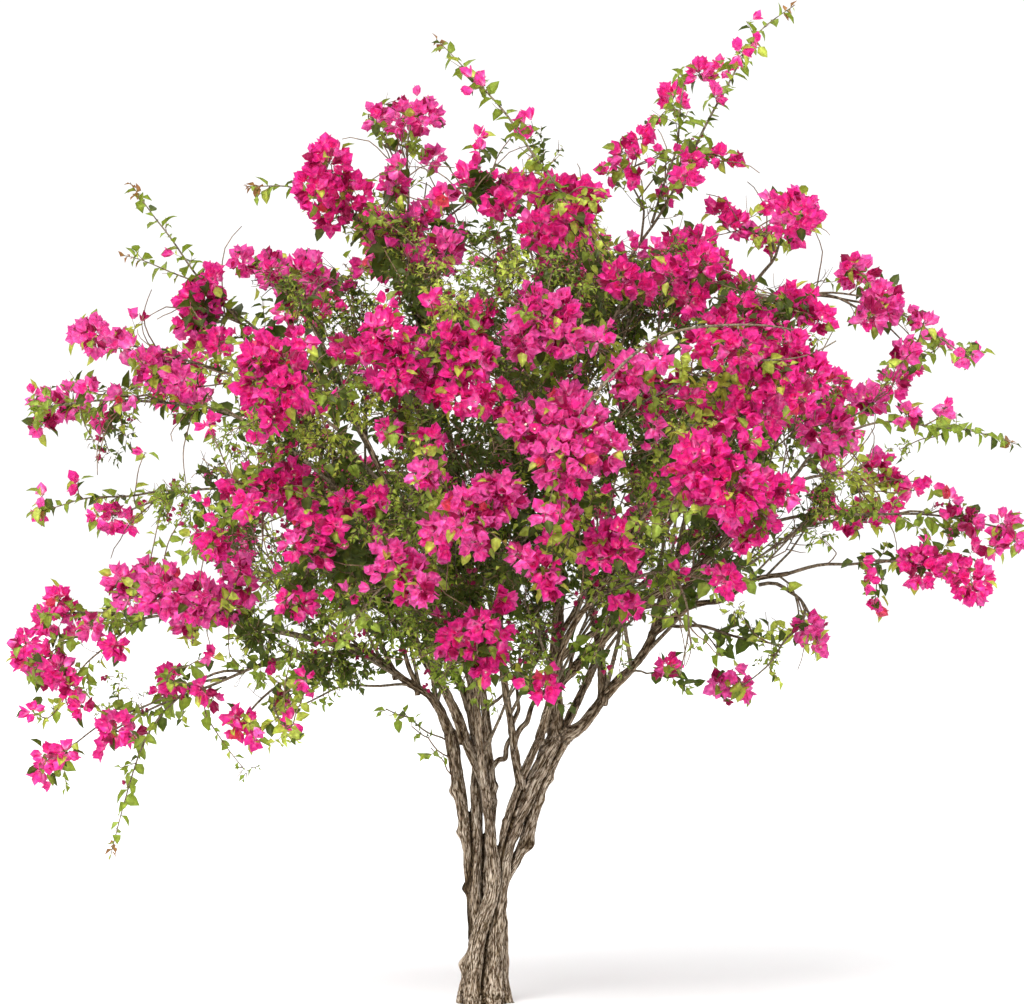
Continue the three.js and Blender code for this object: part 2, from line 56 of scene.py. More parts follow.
# Driving dimensions of the limbs and sprays, in millimetres
UP = vec(0, 0, 1)
CLEARANCE = 3  # between foliage and anything that doesn't carry it
CROWN = SimpleNamespace(middle=vec(60, 0, 1700), half=vec(1500, 1250, 1150), rim=0.17)
BOUGH = SimpleNamespace(sway=14, taper=0.8)
STEM = SimpleNamespace(foot=8, tip=5, lift=0.08)
TWIG = SimpleNamespace(foot=5.5, tip=3.5, lift=0.1, start=0.62, apart=0.1)
PATH = SimpleNamespace(follow=0.3, lead=0.2, tries=40, stray=0.05, left=0.35, sample=15, margin=60)
TWIG_STEP = 180  # a solid twig's straight steps
BOUGH_STEP = 210
SWAY_PACES = (7, 9, 11)  # how fast a limb sways along x, y and z
# A twig as it shows: its sway about the solid one, and its radii as shares of the solid's
SHOWN = SimpleNamespace(sway=7, foot=0.8, tip=0.55, cane_tip=0.35)
VIEW = SimpleNamespace(x=78, z=1503, distance=14000)  # where the photo is taken from, in front of the trunk
GOLDEN_ANGLE = math.pi * (3 - math.sqrt(5))
FULL_TURN = 2 * math.pi

# The twined stems. Each has its middle's x and y and its radius at these heights.
STRAND_HEIGHTS = (0, 60, 200, 345, 480, 640, 800)
STRANDS = {
    "left_main": (
        "left",
        (-48, -46, -30, -39, -33, -29, -30),
        (6, 6, 4, 4, 8, 5, 5),
        (40, 32, 27, 27, 25, 17, 15),
    ),
    "left_front": (
        "left",
        (-36, -38, -22, 20, 16, -4, -66),
        (-24, -26, -38, -42, -32, -24, -18),
        (36, 28, 25, 23, 19, 16, 16),
    ),
    "left_outer": (
        "left",
        (-40, -40, -36, -44, -54, -80, -104),
        (8, 8, 6, 2, 0, 2, 0),
        (34, 28, 22, 21, 19, 20, 22),
    ),
    "left_back": (
        "left",
        (-6, -6, -10, -8, 6, 18, 3),
        (30, 28, 28, 26, 20, 12, 12),
        (38, 30, 26, 24, 20, 14, 12),
    ),
    "right_main": (
        "right",
        (20, 18, 25, 38, 66, 132, 212),
        (-12, -12, -14, 0, -6, -5, 0),
        (42, 34, 31, 28, 26, 31, 31),
    ),
    "right_inner": (
        "right",
        (20, 20, 24, 34, 48, 93, 162),
        (10, 10, 8, 0, -20, -26, -20),
        (30, 26, 22, 20, 15, 14, 13),
    ),
    "right_outer": (
        "right",
        (52, 44, 43, 46, 116, 160, 238),
        (18, 18, 20, 20, 16, 10, 8),
        (34, 27, 23, 21, 22, 24, 22),
    ),
}

# The main boughs: name, parent, how far along it the foot is, bend, tip, and the radii at foot and tip.
BOUGHS = [
    ("left_low", "left_outer", 1, (-222, -60, 1060), (-520, -90, 1090), (15, 9)),
    ("left_middle", "left_front", 1, (-200, -120, 1120), (-440, -260, 1540), (16, 8)),
    ("left_high", "left_main", 1, (-110, 70, 1150), (-430, 60, 1830), (15, 8)),
    ("top_left", "left_back", 1, (-40, -60, 1450), (-220, -60, 2150), (13, 8)),
    ("front_left", "left_front", 0.78, (-30, -260, 1050), (-130, -560, 1420), (13, 8)),
    ("back_left", "left_back", 0.8, (-60, 330, 1150), (-420, 620, 1660), (14, 8)),
    ("top_right", "right_main", 1, (170, 0, 1400), (340, 60, 2080), (25, 9)),
    ("centre", "right_inner", 0.86, (-25, -90, 1150), (170, -470, 1620), (13, 8)),
    ("front_right", "right_inner", 1, (210, -270, 1080), (440, -580, 1440), (13, 8)),
    ("right_high", "top_right", 0.12, (390, -60, 1130), (860, -150, 1520), (17, 9)),
    ("right_middle", "right_outer", 1, (430, 40, 900), (620, 70, 1420), (20, 9)),
    ("right_low", "right_middle", 0.55, (660, -60, 1235), (900, -110, 1290), (11, 7)),
    ("upper_right", "top_right", 0.55, (400, 70, 1850), (760, 40, 2090), (14, 8)),
    ("back_right", "right_outer", 0.86, (330, 330, 1100), (720, 620, 1660), (16, 8)),
    ("back", "right_middle", 0.22, (320, 320, 1400), (130, 600, 1960), (14, 8)),
]

# The sprays: name, bough, how far along the bough the foot is, side, heads, leafy twigs and long canes.
# A head is x, z and the radius of a ball of blossom. A leafy twig or a cane is its tip's x and z, how far
# along the spray's stem it starts, and how high it arches beside its length. Their depth is side times the
# half depth of the crown's dome at that place, so that -1 is nearest the viewer.
SPRAYS = [
    ("top_left", "top_left", 1, -0.15, [(-220, 2645, 85), (-262, 2440, 75), (-335, 2625, 50)], [], []),
    ("upper_left", "top_left", 0.8, -0.4, [(-465, 2435, 135)], [], [(-705, 2430, 0.7, 0.1)]),
    ("left_shoulder", "left_high", 1, 0.3, [(-610, 2185, 140), (-400, 2200, 60)], [], []),
    ("left_high", "left_high", 0.86, -0.1, [(-845, 2080, 130)],
     [], [(-1066, 2460, 0.8, 0.15), (-1085, 2240, 0.65, 0.15)]),
    ("left_outer", "left_high", 0.7, -0.35, [(-1135, 1980, 110), (-960, 1870, 95)], [], []),
    ("left_tip", "left_middle", 1, -0.25, [(-1290, 1785, 115), (-1120, 1820, 60)], [], []),
    ("left_front", "left_middle", 0.88, -0.85, [(-645, 1855, 140)], [(-420, 1800, 0.5, 0.1)], []),
    ("left_middle", "left_middle", 0.74, 0.3, [(-1095, 1475, 80)], [], [(-1365, 1470, 0.7, 0.1)]),
    ("left_inner", "left_middle", 0.6, -0.7, [(-680, 1545, 125), (-840, 1385, 100)], [], []),
    ("left_low_front", "left_middle", 0.45, -0.85, [(-530, 1350, 115)],
     [(-330, 1200, 0.4, 0.05), (-560, 1180, 0.6, 0.05)], []),
    ("left_low", "left_low", 0.86, -0.6, [(-980, 1235, 125), (-770, 1195, 100)],
     [(-850, 1090, 0.6, 0.05)], []),
    ("far_left", "left_low", 1, -0.2, [(-1300, 1165, 105), (-1340, 1010, 105), (-1275, 890, 75)], [], []),
    ("low_left", "left_low", 0.74, -0.45, [(-1105, 825, 75), (-940, 970, 70), (-1285, 735, 75)],
     [], [(-1120, 440, 0.45, 0.3)]),
    ("low_left_inner", "left_low", 0.6, -0.7, [(-735, 835, 70), (-575, 845, 50)], [], []),
    ("front_upper_left", "front_left", 1, -0.85, [(-275, 1960, 150), (-85, 1920, 110)],
     [(-290, 1700, 0.5, 0.1)], []),
    ("top", "top_left", 0.9, 0.35, [(-40, 2440, 115)], [(30, 2240, 0.3, 0.1)], []),
    ("top_centre", "top_right", 1, -0.5, [(225, 2385, 150)], [], [(-147, 2880, 0.97, 0.15)]),
    ("front_high", "centre", 1, -0.9, [(165, 2020, 135), (430, 1880, 85)], [], []),
    ("front", "centre", 0.86, -0.95, [(235, 1685, 180)], [], []),
    ("front_left", "front_left", 0.85, -0.95, [(-55, 1465, 140)], [(-170, 1640, 0.6, 0.1)], []),
    ("front_low_left", "front_left", 0.7, -0.9, [(-240, 1285, 105)], [(-400, 1130, 0.5, 0.05)], []),
    ("front_low", "front_left", 0.5, -0.85, [(-25, 1065, 110), (175, 950, 50)], [], []),
    ("front_low_right", "centre", 0.6, -0.9, [(370, 1365, 75), (180, 1285, 75)], [], []),
    ("upper_right", "top_right", 0.85, 0.35, [(410, 2150, 115), (620, 2255, 115)],
     [(540, 2020, 0.4, 0.1)], []),
    ("high_right", "top_right", 0.93, -0.2, [(620, 2520, 85), (590, 2745, 75), (385, 2500, 60)],
     [], [(925, 2990, 0.9, 0.28)]),
    ("top_right", "upper_right", 1, -0.2, [(895, 2345, 110), (715, 2300, 85)], [], []),
    ("right_shoulder", "upper_right", 0.85, -0.15, [(1150, 2110, 110), (1270, 1950, 75), (1420, 1945, 60)],
     [], []),
    ("right_front_high", "upper_right", 0.6, -0.75, [(875, 2050, 150)], [], []),
    ("right_front", "right_high", 0.85, -0.85, [(550, 1870, 115), (785, 1890, 125)],
     [(570, 1700, 0.4, 0.1)], []),
    ("right_inner", "right_high", 1, -0.5, [(1025, 1705, 95), (1165, 1825, 85)],
     [], [(1580, 1675, 0.75, 0.1)]),
    ("right_front_low", "front_right", 1, -0.95, [(685, 1570, 150), (790, 1455, 110)],
     [(500, 1440, 0.4, 0.1)], []),
    ("right", "right_high", 0.9, 0.35, [(1190, 1575, 90), (1165, 1440, 80)], [], []),
    ("far_right", "right_high", 0.8, -0.1, [(1550, 1425, 60), (1420, 1465, 60)], [], []),
    ("right_low", "right_low", 1, -0.3, [(1317, 1308, 85), (1440, 1270, 95)], [], []),
    ("low_right", "right_low", 0.8, -0.5, [(970, 1095, 65), (750, 965, 70)], [], []),
    ("low_right_inner", "front_right", 0.6, -0.75, [(708, 1263, 65), (558, 1008, 50)], [], []),
    ("back_right", "back_right", 1, 0.8, [(1090, 1790, 130), (850, 2020, 130), (760, 1560, 140)], [], []),
    ("back_right_inner", "back_right", 0.7, 0.5, [(520, 1850, 140), (400, 1450, 130)], [], []),
    ("back_top_right", "back", 1, 0.7, [(260, 2290, 150), (600, 2240, 130)], [], []),
    ("back_top_left", "back", 0.8, 0.6, [(-80, 2000, 150), (170, 1700, 140), (-290, 2330, 130)], [], []),
    ("back_left", "back_left", 1, 0.8, [(-680, 1870, 145), (-960, 1860, 120), (-560, 2150, 120)], [], []),
    ("back_left_inner", "back_left", 0.7, 0.55, [(-430, 1500, 150), (-810, 1380, 120)], [], []),
]


def reached_at(points):
    """How far along a line each of its points is."""
    return np.concatenate([[0], np.cumsum(np.linalg.norm(np.diff(points, axis=0), axis=1))])


class Limb:
    """A line through space that is read by its arc length, with its radius as a function of the fraction."""

    SAMPLES = 201
    DELTA = 1e-4

    def __init__(self, point_at, radius_at):
        self.point_at = point_at
        self.radius_at = radius_at
        self.fractions = np.linspace(0, 1, self.SAMPLES)
        self.reached = reached_at(point_at(self.fractions))
        self.length = self.reached[-1]

    def fraction(self, share):
        """How far through its own measure the line is at a share of its length."""
        return np.interp(np.asarray(share, float) * self.length, self.reached, self.fractions)

    def at(self, share):
        """The places at these shares of the length."""
        return self.point_at(np.atleast_1d(self.fraction(share)))

    def tangent(self, share):
        """The directions at these shares of the length."""
        fraction = np.atleast_1d(self.fraction(share))
        ahead = self.point_at(np.minimum(fraction + self.DELTA, 1))
        behind = self.point_at(np.maximum(fraction - self.DELTA, 0))
        return unit(ahead - behind)

    def on_steps(self, share, step):
        """A place on the solid limb, which follows the line in straight steps."""
        count = max(2, round(self.length / step))
        first = min(int(share * count), count - 1)
        low, high = self.at([first / count, (first + 1) / count])
        return low + (high - low) * (share * count - first)


def bent_limb(foot, bend, tip, radius_at, sway=0.0, phase=0.0):
    """A bend from foot to tip, with a slight sway on the way."""

    def point_at(fraction):
        t = np.atleast_1d(fraction)[:, None]
        x, y, z = (phase + pace * t for pace in SWAY_PACES)
        swing = sway * np.sin(math.pi * t) * np.concatenate([np.sin(x), np.cos(y), np.sin(z)], axis=1)
        return swing + (1 - t) ** 2 * foot + 2 * t * (1 - t) * bend + t * t * tip

    return Limb(point_at, radius_at)


def tapered(foot, tip, power=1):
    """A radius that runs from one at the foot to one at the tip."""
    return lambda share: foot + (tip - foot) * np.asarray(share, float) ** power


def strand_limb(xs, ys, radii):
    """A smooth line through a strand's middles, which passes each as its neighbours lie."""
    knots = np.stack([xs, ys, STRAND_HEIGHTS], axis=1).astype(float)
    last = len(knots) - 1
    ends = np.concatenate([[2 * knots[0] - knots[1]], knots, [2 * knots[-1] - knots[-2]]])

    def point_at(fraction):
        place = np.atleast_1d(fraction) * last
        i = np.minimum(place.astype(int), last - 1)
        t = (place - i)[:, None]
        before, low, high, after = (ends[i + k] for k in range(4))
        rise, fall = (high - before) / 2, (after - low) / 2
        square = 3 * (high - low) - 2 * rise - fall
        cube = 2 * (low - high) + rise + fall
        return low + t * rise + t**2 * square + t**3 * cube

    return Limb(point_at, lambda share: np.interp(share, np.linspace(0, 1, last + 1), radii))


def besides(along, opening, turn):
    """Unit directions that open from the given ones by an angle, on the side that the turn says."""
    side = np.cross(UP, along)
    steep = np.sum(side**2, axis=-1, keepdims=True) < 0.01
    side = unit(np.where(steep, vec(1, 0, 0), side))
    other = np.cross(along, side)
    opening, turn = np.asarray(opening)[..., None], np.asarray(turn)[..., None]
    across = np.cos(turn) * side + np.sin(turn) * other
    return unit(np.cos(opening) * along + np.sin(opening) * across)


class Room:
    """What a growing twig keeps clear of: the limbs and twigs as short lengths with a radius, each under the
    number of its owner."""

    def __init__(self):
        self.starts = np.zeros((0, 3))
        self.ends = np.zeros((0, 3))
        self.radii = np.zeros(0)
        self.owners = np.zeros(0, int)

    def note(self, owner, limb, links=12):
        """Adds a limb as this many lengths."""
        points = limb.at(np.linspace(0, 1, links + 1))
        radii = limb.radius_at(np.arange(links) / links)
        self.starts = np.concatenate([self.starts, points[:-1]])
        self.ends = np.concatenate([self.ends, points[1:]])
        self.radii = np.concatenate([self.radii, radii])
        self.owners = np.concatenate([self.owners, np.full(links, owner)])

    def distances(self, points, chosen):
        """How far each point is from the surface of each chosen length."""
        start, end = self.starts[chosen], self.ends[chosen]
        run = end - start
        away = points[:, None] - start
        share = np.clip(np.sum(away * run, axis=2) / np.sum(run * run, axis=1), 0, 1)
        return np.linalg.norm(away - share[..., None] * run, axis=2) - self.radii[chosen]


room = Room()
limbs = {}
names = []


def owner_of(name):
    """A number for each name, in the order in which they come."""
    if name not in names:
        names.append(name)
    return names.index(name)


def grow_limbs():
    """The strands of the trunk and stems, and the boughs."""
    for name, (side, xs, ys, radii) in STRANDS.items():
        limb = strand_limb(xs, ys, radii)
        limbs[name] = SimpleNamespace(limb=limb, owner=owner_of(side), is_strand=True)
        room.note(owner_of(side), limb, links=24)
    for index, (name, parent, at, bend, tip, radii) in enumerate(BOUGHS):
        carrier = limbs[parent]
        foot = carrier.limb.point_at(at)[0] if carrier.is_strand else carrier.limb.on_steps(at, BOUGH_STEP)
        limb = bent_limb(foot, vec(*bend), vec(*tip), tapered(*radii, BOUGH.taper), BOUGH.sway, index)
        limbs[name] = SimpleNamespace(limb=limb, owner=owner_of(name), is_strand=False)
        room.note(owner_of(name), limb)


# Sprays


def place_in_crown(x, z, side):
    """A place on the front or back of the crown's dome, or within it."""
    across = (x - CROWN.middle[0]) / CROWN.half[0]
    upward = (z - CROWN.middle[2]) / CROWN.half[2]
    depth = math.sqrt(max(1 - across**2 - upward**2, CROWN.rim**2))
    return vec(x, side * CROWN.half[1] * depth, z)


def lay_out_spray(row):
    """A row of the table as a spray, with its foot on its bough and its tips in the crown."""
    name, bough, at, side, heads, leafy_twigs, canes = row
    carrier = limbs[bough]
    foot = carrier.limb.on_steps(at, BOUGH_STEP)

    def twig(x, z, start, lift):
        return SimpleNamespace(tip=place_in_crown(x, z, side), start=start, lift=lift)

    return SimpleNamespace(
        name=name,
        side=side,
        owner=owner_of(name + "_spray"),
        carrier=carrier.owner,
        foot=foot,
        heading=carrier.limb.tangent(at)[0],
        heads=[SimpleNamespace(middle=place_in_crown(x, z, side), radius=r, fitted=r) for x, z, r in heads],
        leafy_twigs=[twig(*tip) for tip in leafy_twigs],
        canes=[twig(*tip) for tip in canes],
    )


def fit_heads(sprays):
    """Two sprays' heads share the room between them, and a head keeps off the limbs."""
    for spray in sprays:
        others = [ball for other in sprays if other is not spray for ball in other.heads]
        for ball in spray.heads:
            for other in others:
                apart = np.linalg.norm(ball.middle - other.middle)
                share = apart * ball.radius / (ball.radius + other.radius) - CLEARANCE
                ball.fitted = min(ball.fitted, share)
            nearest = room.distances(ball.middle[None], slice(None)).min()
            ball.fitted = min(ball.fitted, nearest - CLEARANCE)


def room_round(limb, spray, radius, others):
    """How much room there is round a twig. Its carrier counts only once the twig has left it."""
    count = math.ceil(limb.length / PATH.sample)
    points = limb.at(np.arange(1, count + 1) / count)
    low, high = points.min(axis=0) - PATH.margin, points.max(axis=0) + PATH.margin
    near = np.all(np.minimum(room.starts, room.ends) < high, axis=1)
    near &= np.all(np.maximum(room.starts, room.ends) > low, axis=1)
    near &= room.owners != spray.owner
    gaps = room.distances(points, near)
    left = np.arange(1, count + 1) > PATH.left * count
    own_carrier = room.owners[near] == spray.carrier
    gaps[np.ix_(~left, own_carrier)] = np.inf
    least = gaps.min() if gaps.size else np.inf
    balls, radii = others
    least = min(least, (np.linalg.norm(points[:, None] - balls, axis=2) - radii).min())
    return least - radius - CLEARANCE


def grow_twig(spray, start, heading, tip, lift, size, others):
    """A twig that leaves its start by way of a heading and ends at a tip. Of several bends, each further from
    the straight line, it takes the first with room round it, or else the one with the most."""
    span = np.linalg.norm(tip - start)
    along = (tip - start) / span
    radius_at = tapered(size.foot, size.tip)
    best, most = None, -np.inf
    for i in range(PATH.tries):
        aside = besides(along, math.pi / 2, i * GOLDEN_ANGLE) * PATH.stray * math.sqrt(i)
        bend = start + span * (PATH.follow * heading + PATH.lead * along + aside + lift * UP)
        limb = bent_limb(start, bend, tip, radius_at)
        space = room_round(limb, spray, size.foot, others)
        if space > most:
            best, most = bend, space
        if most > 0:
            break
    room.note(spray.owner, bent_limb(start, best, tip, radius_at))
    return best


def grow_spray(spray, sprays):
    """A stem runs from the bough into the first head, and twigs branch from it to the other tips."""
    rest = [ball for other in sprays if other is not spray for ball in other.heads]
    others = np.array([ball.middle for ball in rest]), np.array([ball.fitted for ball in rest])
    first = spray.heads[0]
    bend = grow_twig(spray, spray.foot, spray.heading, first.middle, STEM.lift, STEM, others)
    solid_stem = bent_limb(spray.foot, bend, first.middle, tapered(STEM.foot, STEM.tip))
    spray.twigs = [finished_twig(spray.foot, bend, first.middle, STEM, spray.owner, "head")]

    def branch(tip, at, lift, kind):
        start = solid_stem.on_steps(at, TWIG_STEP)
        bend = grow_twig(spray, start, solid_stem.tangent(at)[0], tip, lift, TWIG, others)
        phase = spray.owner + len(spray.twigs)
        spray.twigs.append(finished_twig(start, bend, tip, TWIG, phase, kind))

    for i, ball in enumerate(spray.heads[1:]):
        branch(ball.middle, TWIG.start - TWIG.apart * i, TWIG.lift, "head")
    for row in spray.leafy_twigs:
        branch(row.tip, row.start, row.lift, "leafy")
    for row in spray.canes:
        branch(row.tip, row.start, row.lift, "cane")


def finished_twig(start, bend, tip, size, phase, kind):
    """The twig as it shows: it sways a little about the solid one, and is thinner, most at its tip."""
    thin = SHOWN.cane_tip if kind == "cane" else SHOWN.tip
    limb = bent_limb(start, bend, tip, tapered(size.foot * SHOWN.foot, size.tip * thin), SHOWN.sway, phase)
    return SimpleNamespace(limb=limb, kind=kind)


# Finer growth, from the limbs and the sprays' twigs on

SEED = 20260
SHADES = ("dark", "mid", "light", "bronze")
DARK, MID, LIGHT, BRONZE = range(4)
GREENS = 3  # the first shades
# deep is a darker magenta, painted shade for the clusters' inner sets; buds and some others take it too
HUES = ("magenta", "pink", "deep", "coral")
MAGENTA, PINK, SHADE_AND_BUD_HUE = range(3)
HUE_SHARES = (0.42, 0.4, 0.14, 0.04)
OWN_SHARE = 0.7  # of the leaves or sets that have their shoot's own shade or hue
SHOOT = SimpleNamespace(
    bends=3,
    wander=0.18,
    radius=1.6,
    tip=0.7,
    sides=3,
    leafy=0.7,  # the share with leaves
    budless=0.955,  # the share without buds
    forks=SimpleNamespace(at=(0.25, 0.85), opening=(0.6, 1.1), length=(0.35, 0.6)),
)
LEAF = SimpleNamespace(
    length=42,
    small=36,  # one shorter than this has fewer faces
    inner=25,  # the length inside the crown
    # The dark leaves deep in the crown are painted shade, and larger so that less sky shows
    deep=1.3,  # how much larger the dark ones are, as far out as the next value, so that less sky shows
    painted_shade_within=0.8,
    width=0.68,
    sizes=(0.65, 1.2),
    opening=1.0,
    vary=0.25,
    droop=0.3,
    up=0.7,  # how much its face turns up, out of the crown and at random
    out=0.6,
    astray=0.45,
    foot=1.1,  # the size at a shoot's foot, which falls by the next value to its tip
    fall=0.4,
    pitch=13,
    inner_pitch=7.4,
)
BRACT = SimpleNamespace(
    length=39,
    width=0.78,
    sizes=(0.8, 1.15),
    opening=0.68,
    vary=0.22,
    stalk=2,
    set_area=137,  # of a cluster's face to each set
)
FLOWER = SimpleNamespace(share=0.16, stalk=14, radius=4.5, least=0.7, lobes=5, cone=1.2)
# A cluster of blossom: how deep its sets stand inside its radius, or the least share of it, how far out
# its inner sets are, and how many stalks show and how thick they are
CLUSTER = SimpleNamespace(depth=20, least=0.3, fill=0.55, stalks=5, stalk=1.5)
# A loose cluster: how wide it is and how far it lies round and ahead of its shoot's tip
LOOSE = SimpleNamespace(spread=15, astray=0.6, ahead=0.4)
# How far a cluster strays in depth: at the front of the crown, and how much further at its sides
STRAY = SimpleNamespace(front=30, side=120)
# A long cane: its steps, its leaves beside the others, the small ones at its tip, and its shoots
CANE = SimpleNamespace(step=20, leaf=1.35, tip_leaf=0.8, tip_run=60, tip_pitch=8, shoots=85, shoot=50)
BRANCH = SimpleNamespace(
    count=7,  # to a bough
    share=0.5,  # of its bough's radius
    least=4.2,
    length=(300, 520),
    rise=0.35,
    forks=4,
    forks_from=0.3,
    forks_over=0.68,
    opening=(0.4, 0.8),
    lift=0.25,
    lengths=(0.4, 0.62),
    thin=0.55,  # a fork's share of the radius
    tip=0.5,
    sides=5,
    bare=SimpleNamespace(count=5, opening=(0.5, 1.3), length=(70, 170), rise=0.2, radii=(2.2, 1)),
    leafy=SimpleNamespace(count=7, opening=(0.5, 1.1), length=(60, 130), rise=0.4, blossom=0.02),
    barked=6,  # from this radius on it has the limbs' bark
    brown=3,  # under this radius it has the twigs' brown bark
)
BARE = SimpleNamespace(
    count=6,
    at=(0.3, 1),
    length=220,
    spans=(0.6, 1.3),
    opening=(0.9, 1.5),
    radii=(2.4, 1.2),
    sway=5,
    joints=8,
    sides=4,
)
# The shoots along a limb: how they open from it and turn out of the crown, and the shares of their length
CLOTHED = SimpleNamespace(opening=(0.7, 1.2), astray=0.4, out=0.6, lengths=(0.5, 1.2))
# How many shoots grow for how far out of the crown: all near its middle, and at least a share at its edge
THINNING = SimpleNamespace(full=1.3, fall=0.95, least=0.42)
# A leafy mass: how close its shoots stand, where they start and how long they are, by its radius
MASS = SimpleNamespace(pitch=13, shell=(0.1, 0.7), shoots=(0.5, 0.9), out=0.4, rise=-0.2)
# A spray's own twigs, which are bare at their feet and carry blossom by their kind
OWN_TWIG = SimpleNamespace(
    step=30,
    least_steps=6,
    sides=6,
    bare=0.15,
    pitch=30,
    shoots=100,
    blossom={"head": 0.12, "leafy": 0.06},
)
# The twigs that reach out to a cluster or mass
REACH = SimpleNamespace(
    follow=0.35,
    lead=0.15,
    lift=0.08,
    radii=(2.4, 1.3),
    sway=6,
    sway_share=0.03,  # the most of its span
    step=22,
    sides=4,
    pitch=20.8,  # between its leaves
)
STALK_RADIUS = 1
# The chance that a leaf keeps its shade grows by how far out of the crown it is. Deeper in, it is
# dark instead, as painted shade
PAINTED_SHADE_DEPTH = SimpleNamespace(fade=1.6, start=0.1)
# A back spray's clusters: how many, where in its head and how large, by the head's radius
LOBE = SimpleNamespace(pitch=22, shell=(0.45, 0.8), radii=(0.28, 0.45))
# The leafy shoots on each bough's outer half, and where its lesser branches start and how they leave it
INNER = SimpleNamespace(start=0.5, pitch=60, shoots=150, blossom=0.02, forks=2, rise=0.8)
BRANCH_FEET = SimpleNamespace(start=0.16, over=0.8, opening=(0.45, 0.8), lift=0.45)
# Buds: where along a shoot, how many, how they open from it, their stalk and their size beside a full set's
BUD = SimpleNamespace(at=(0.3, 1), counts=(2, 5), opening=(0.4, 1.2), stalk=6, sizes=(0.25, 0.45))
PINK_SPRAYS = {
    "front", "front_high", "front_left", "front_low_left", "left_outer", "left_tip", "left_shoulder",
    "right_shoulder", "top_left", "left_low", "low_right", "far_right", "right_inner",
}

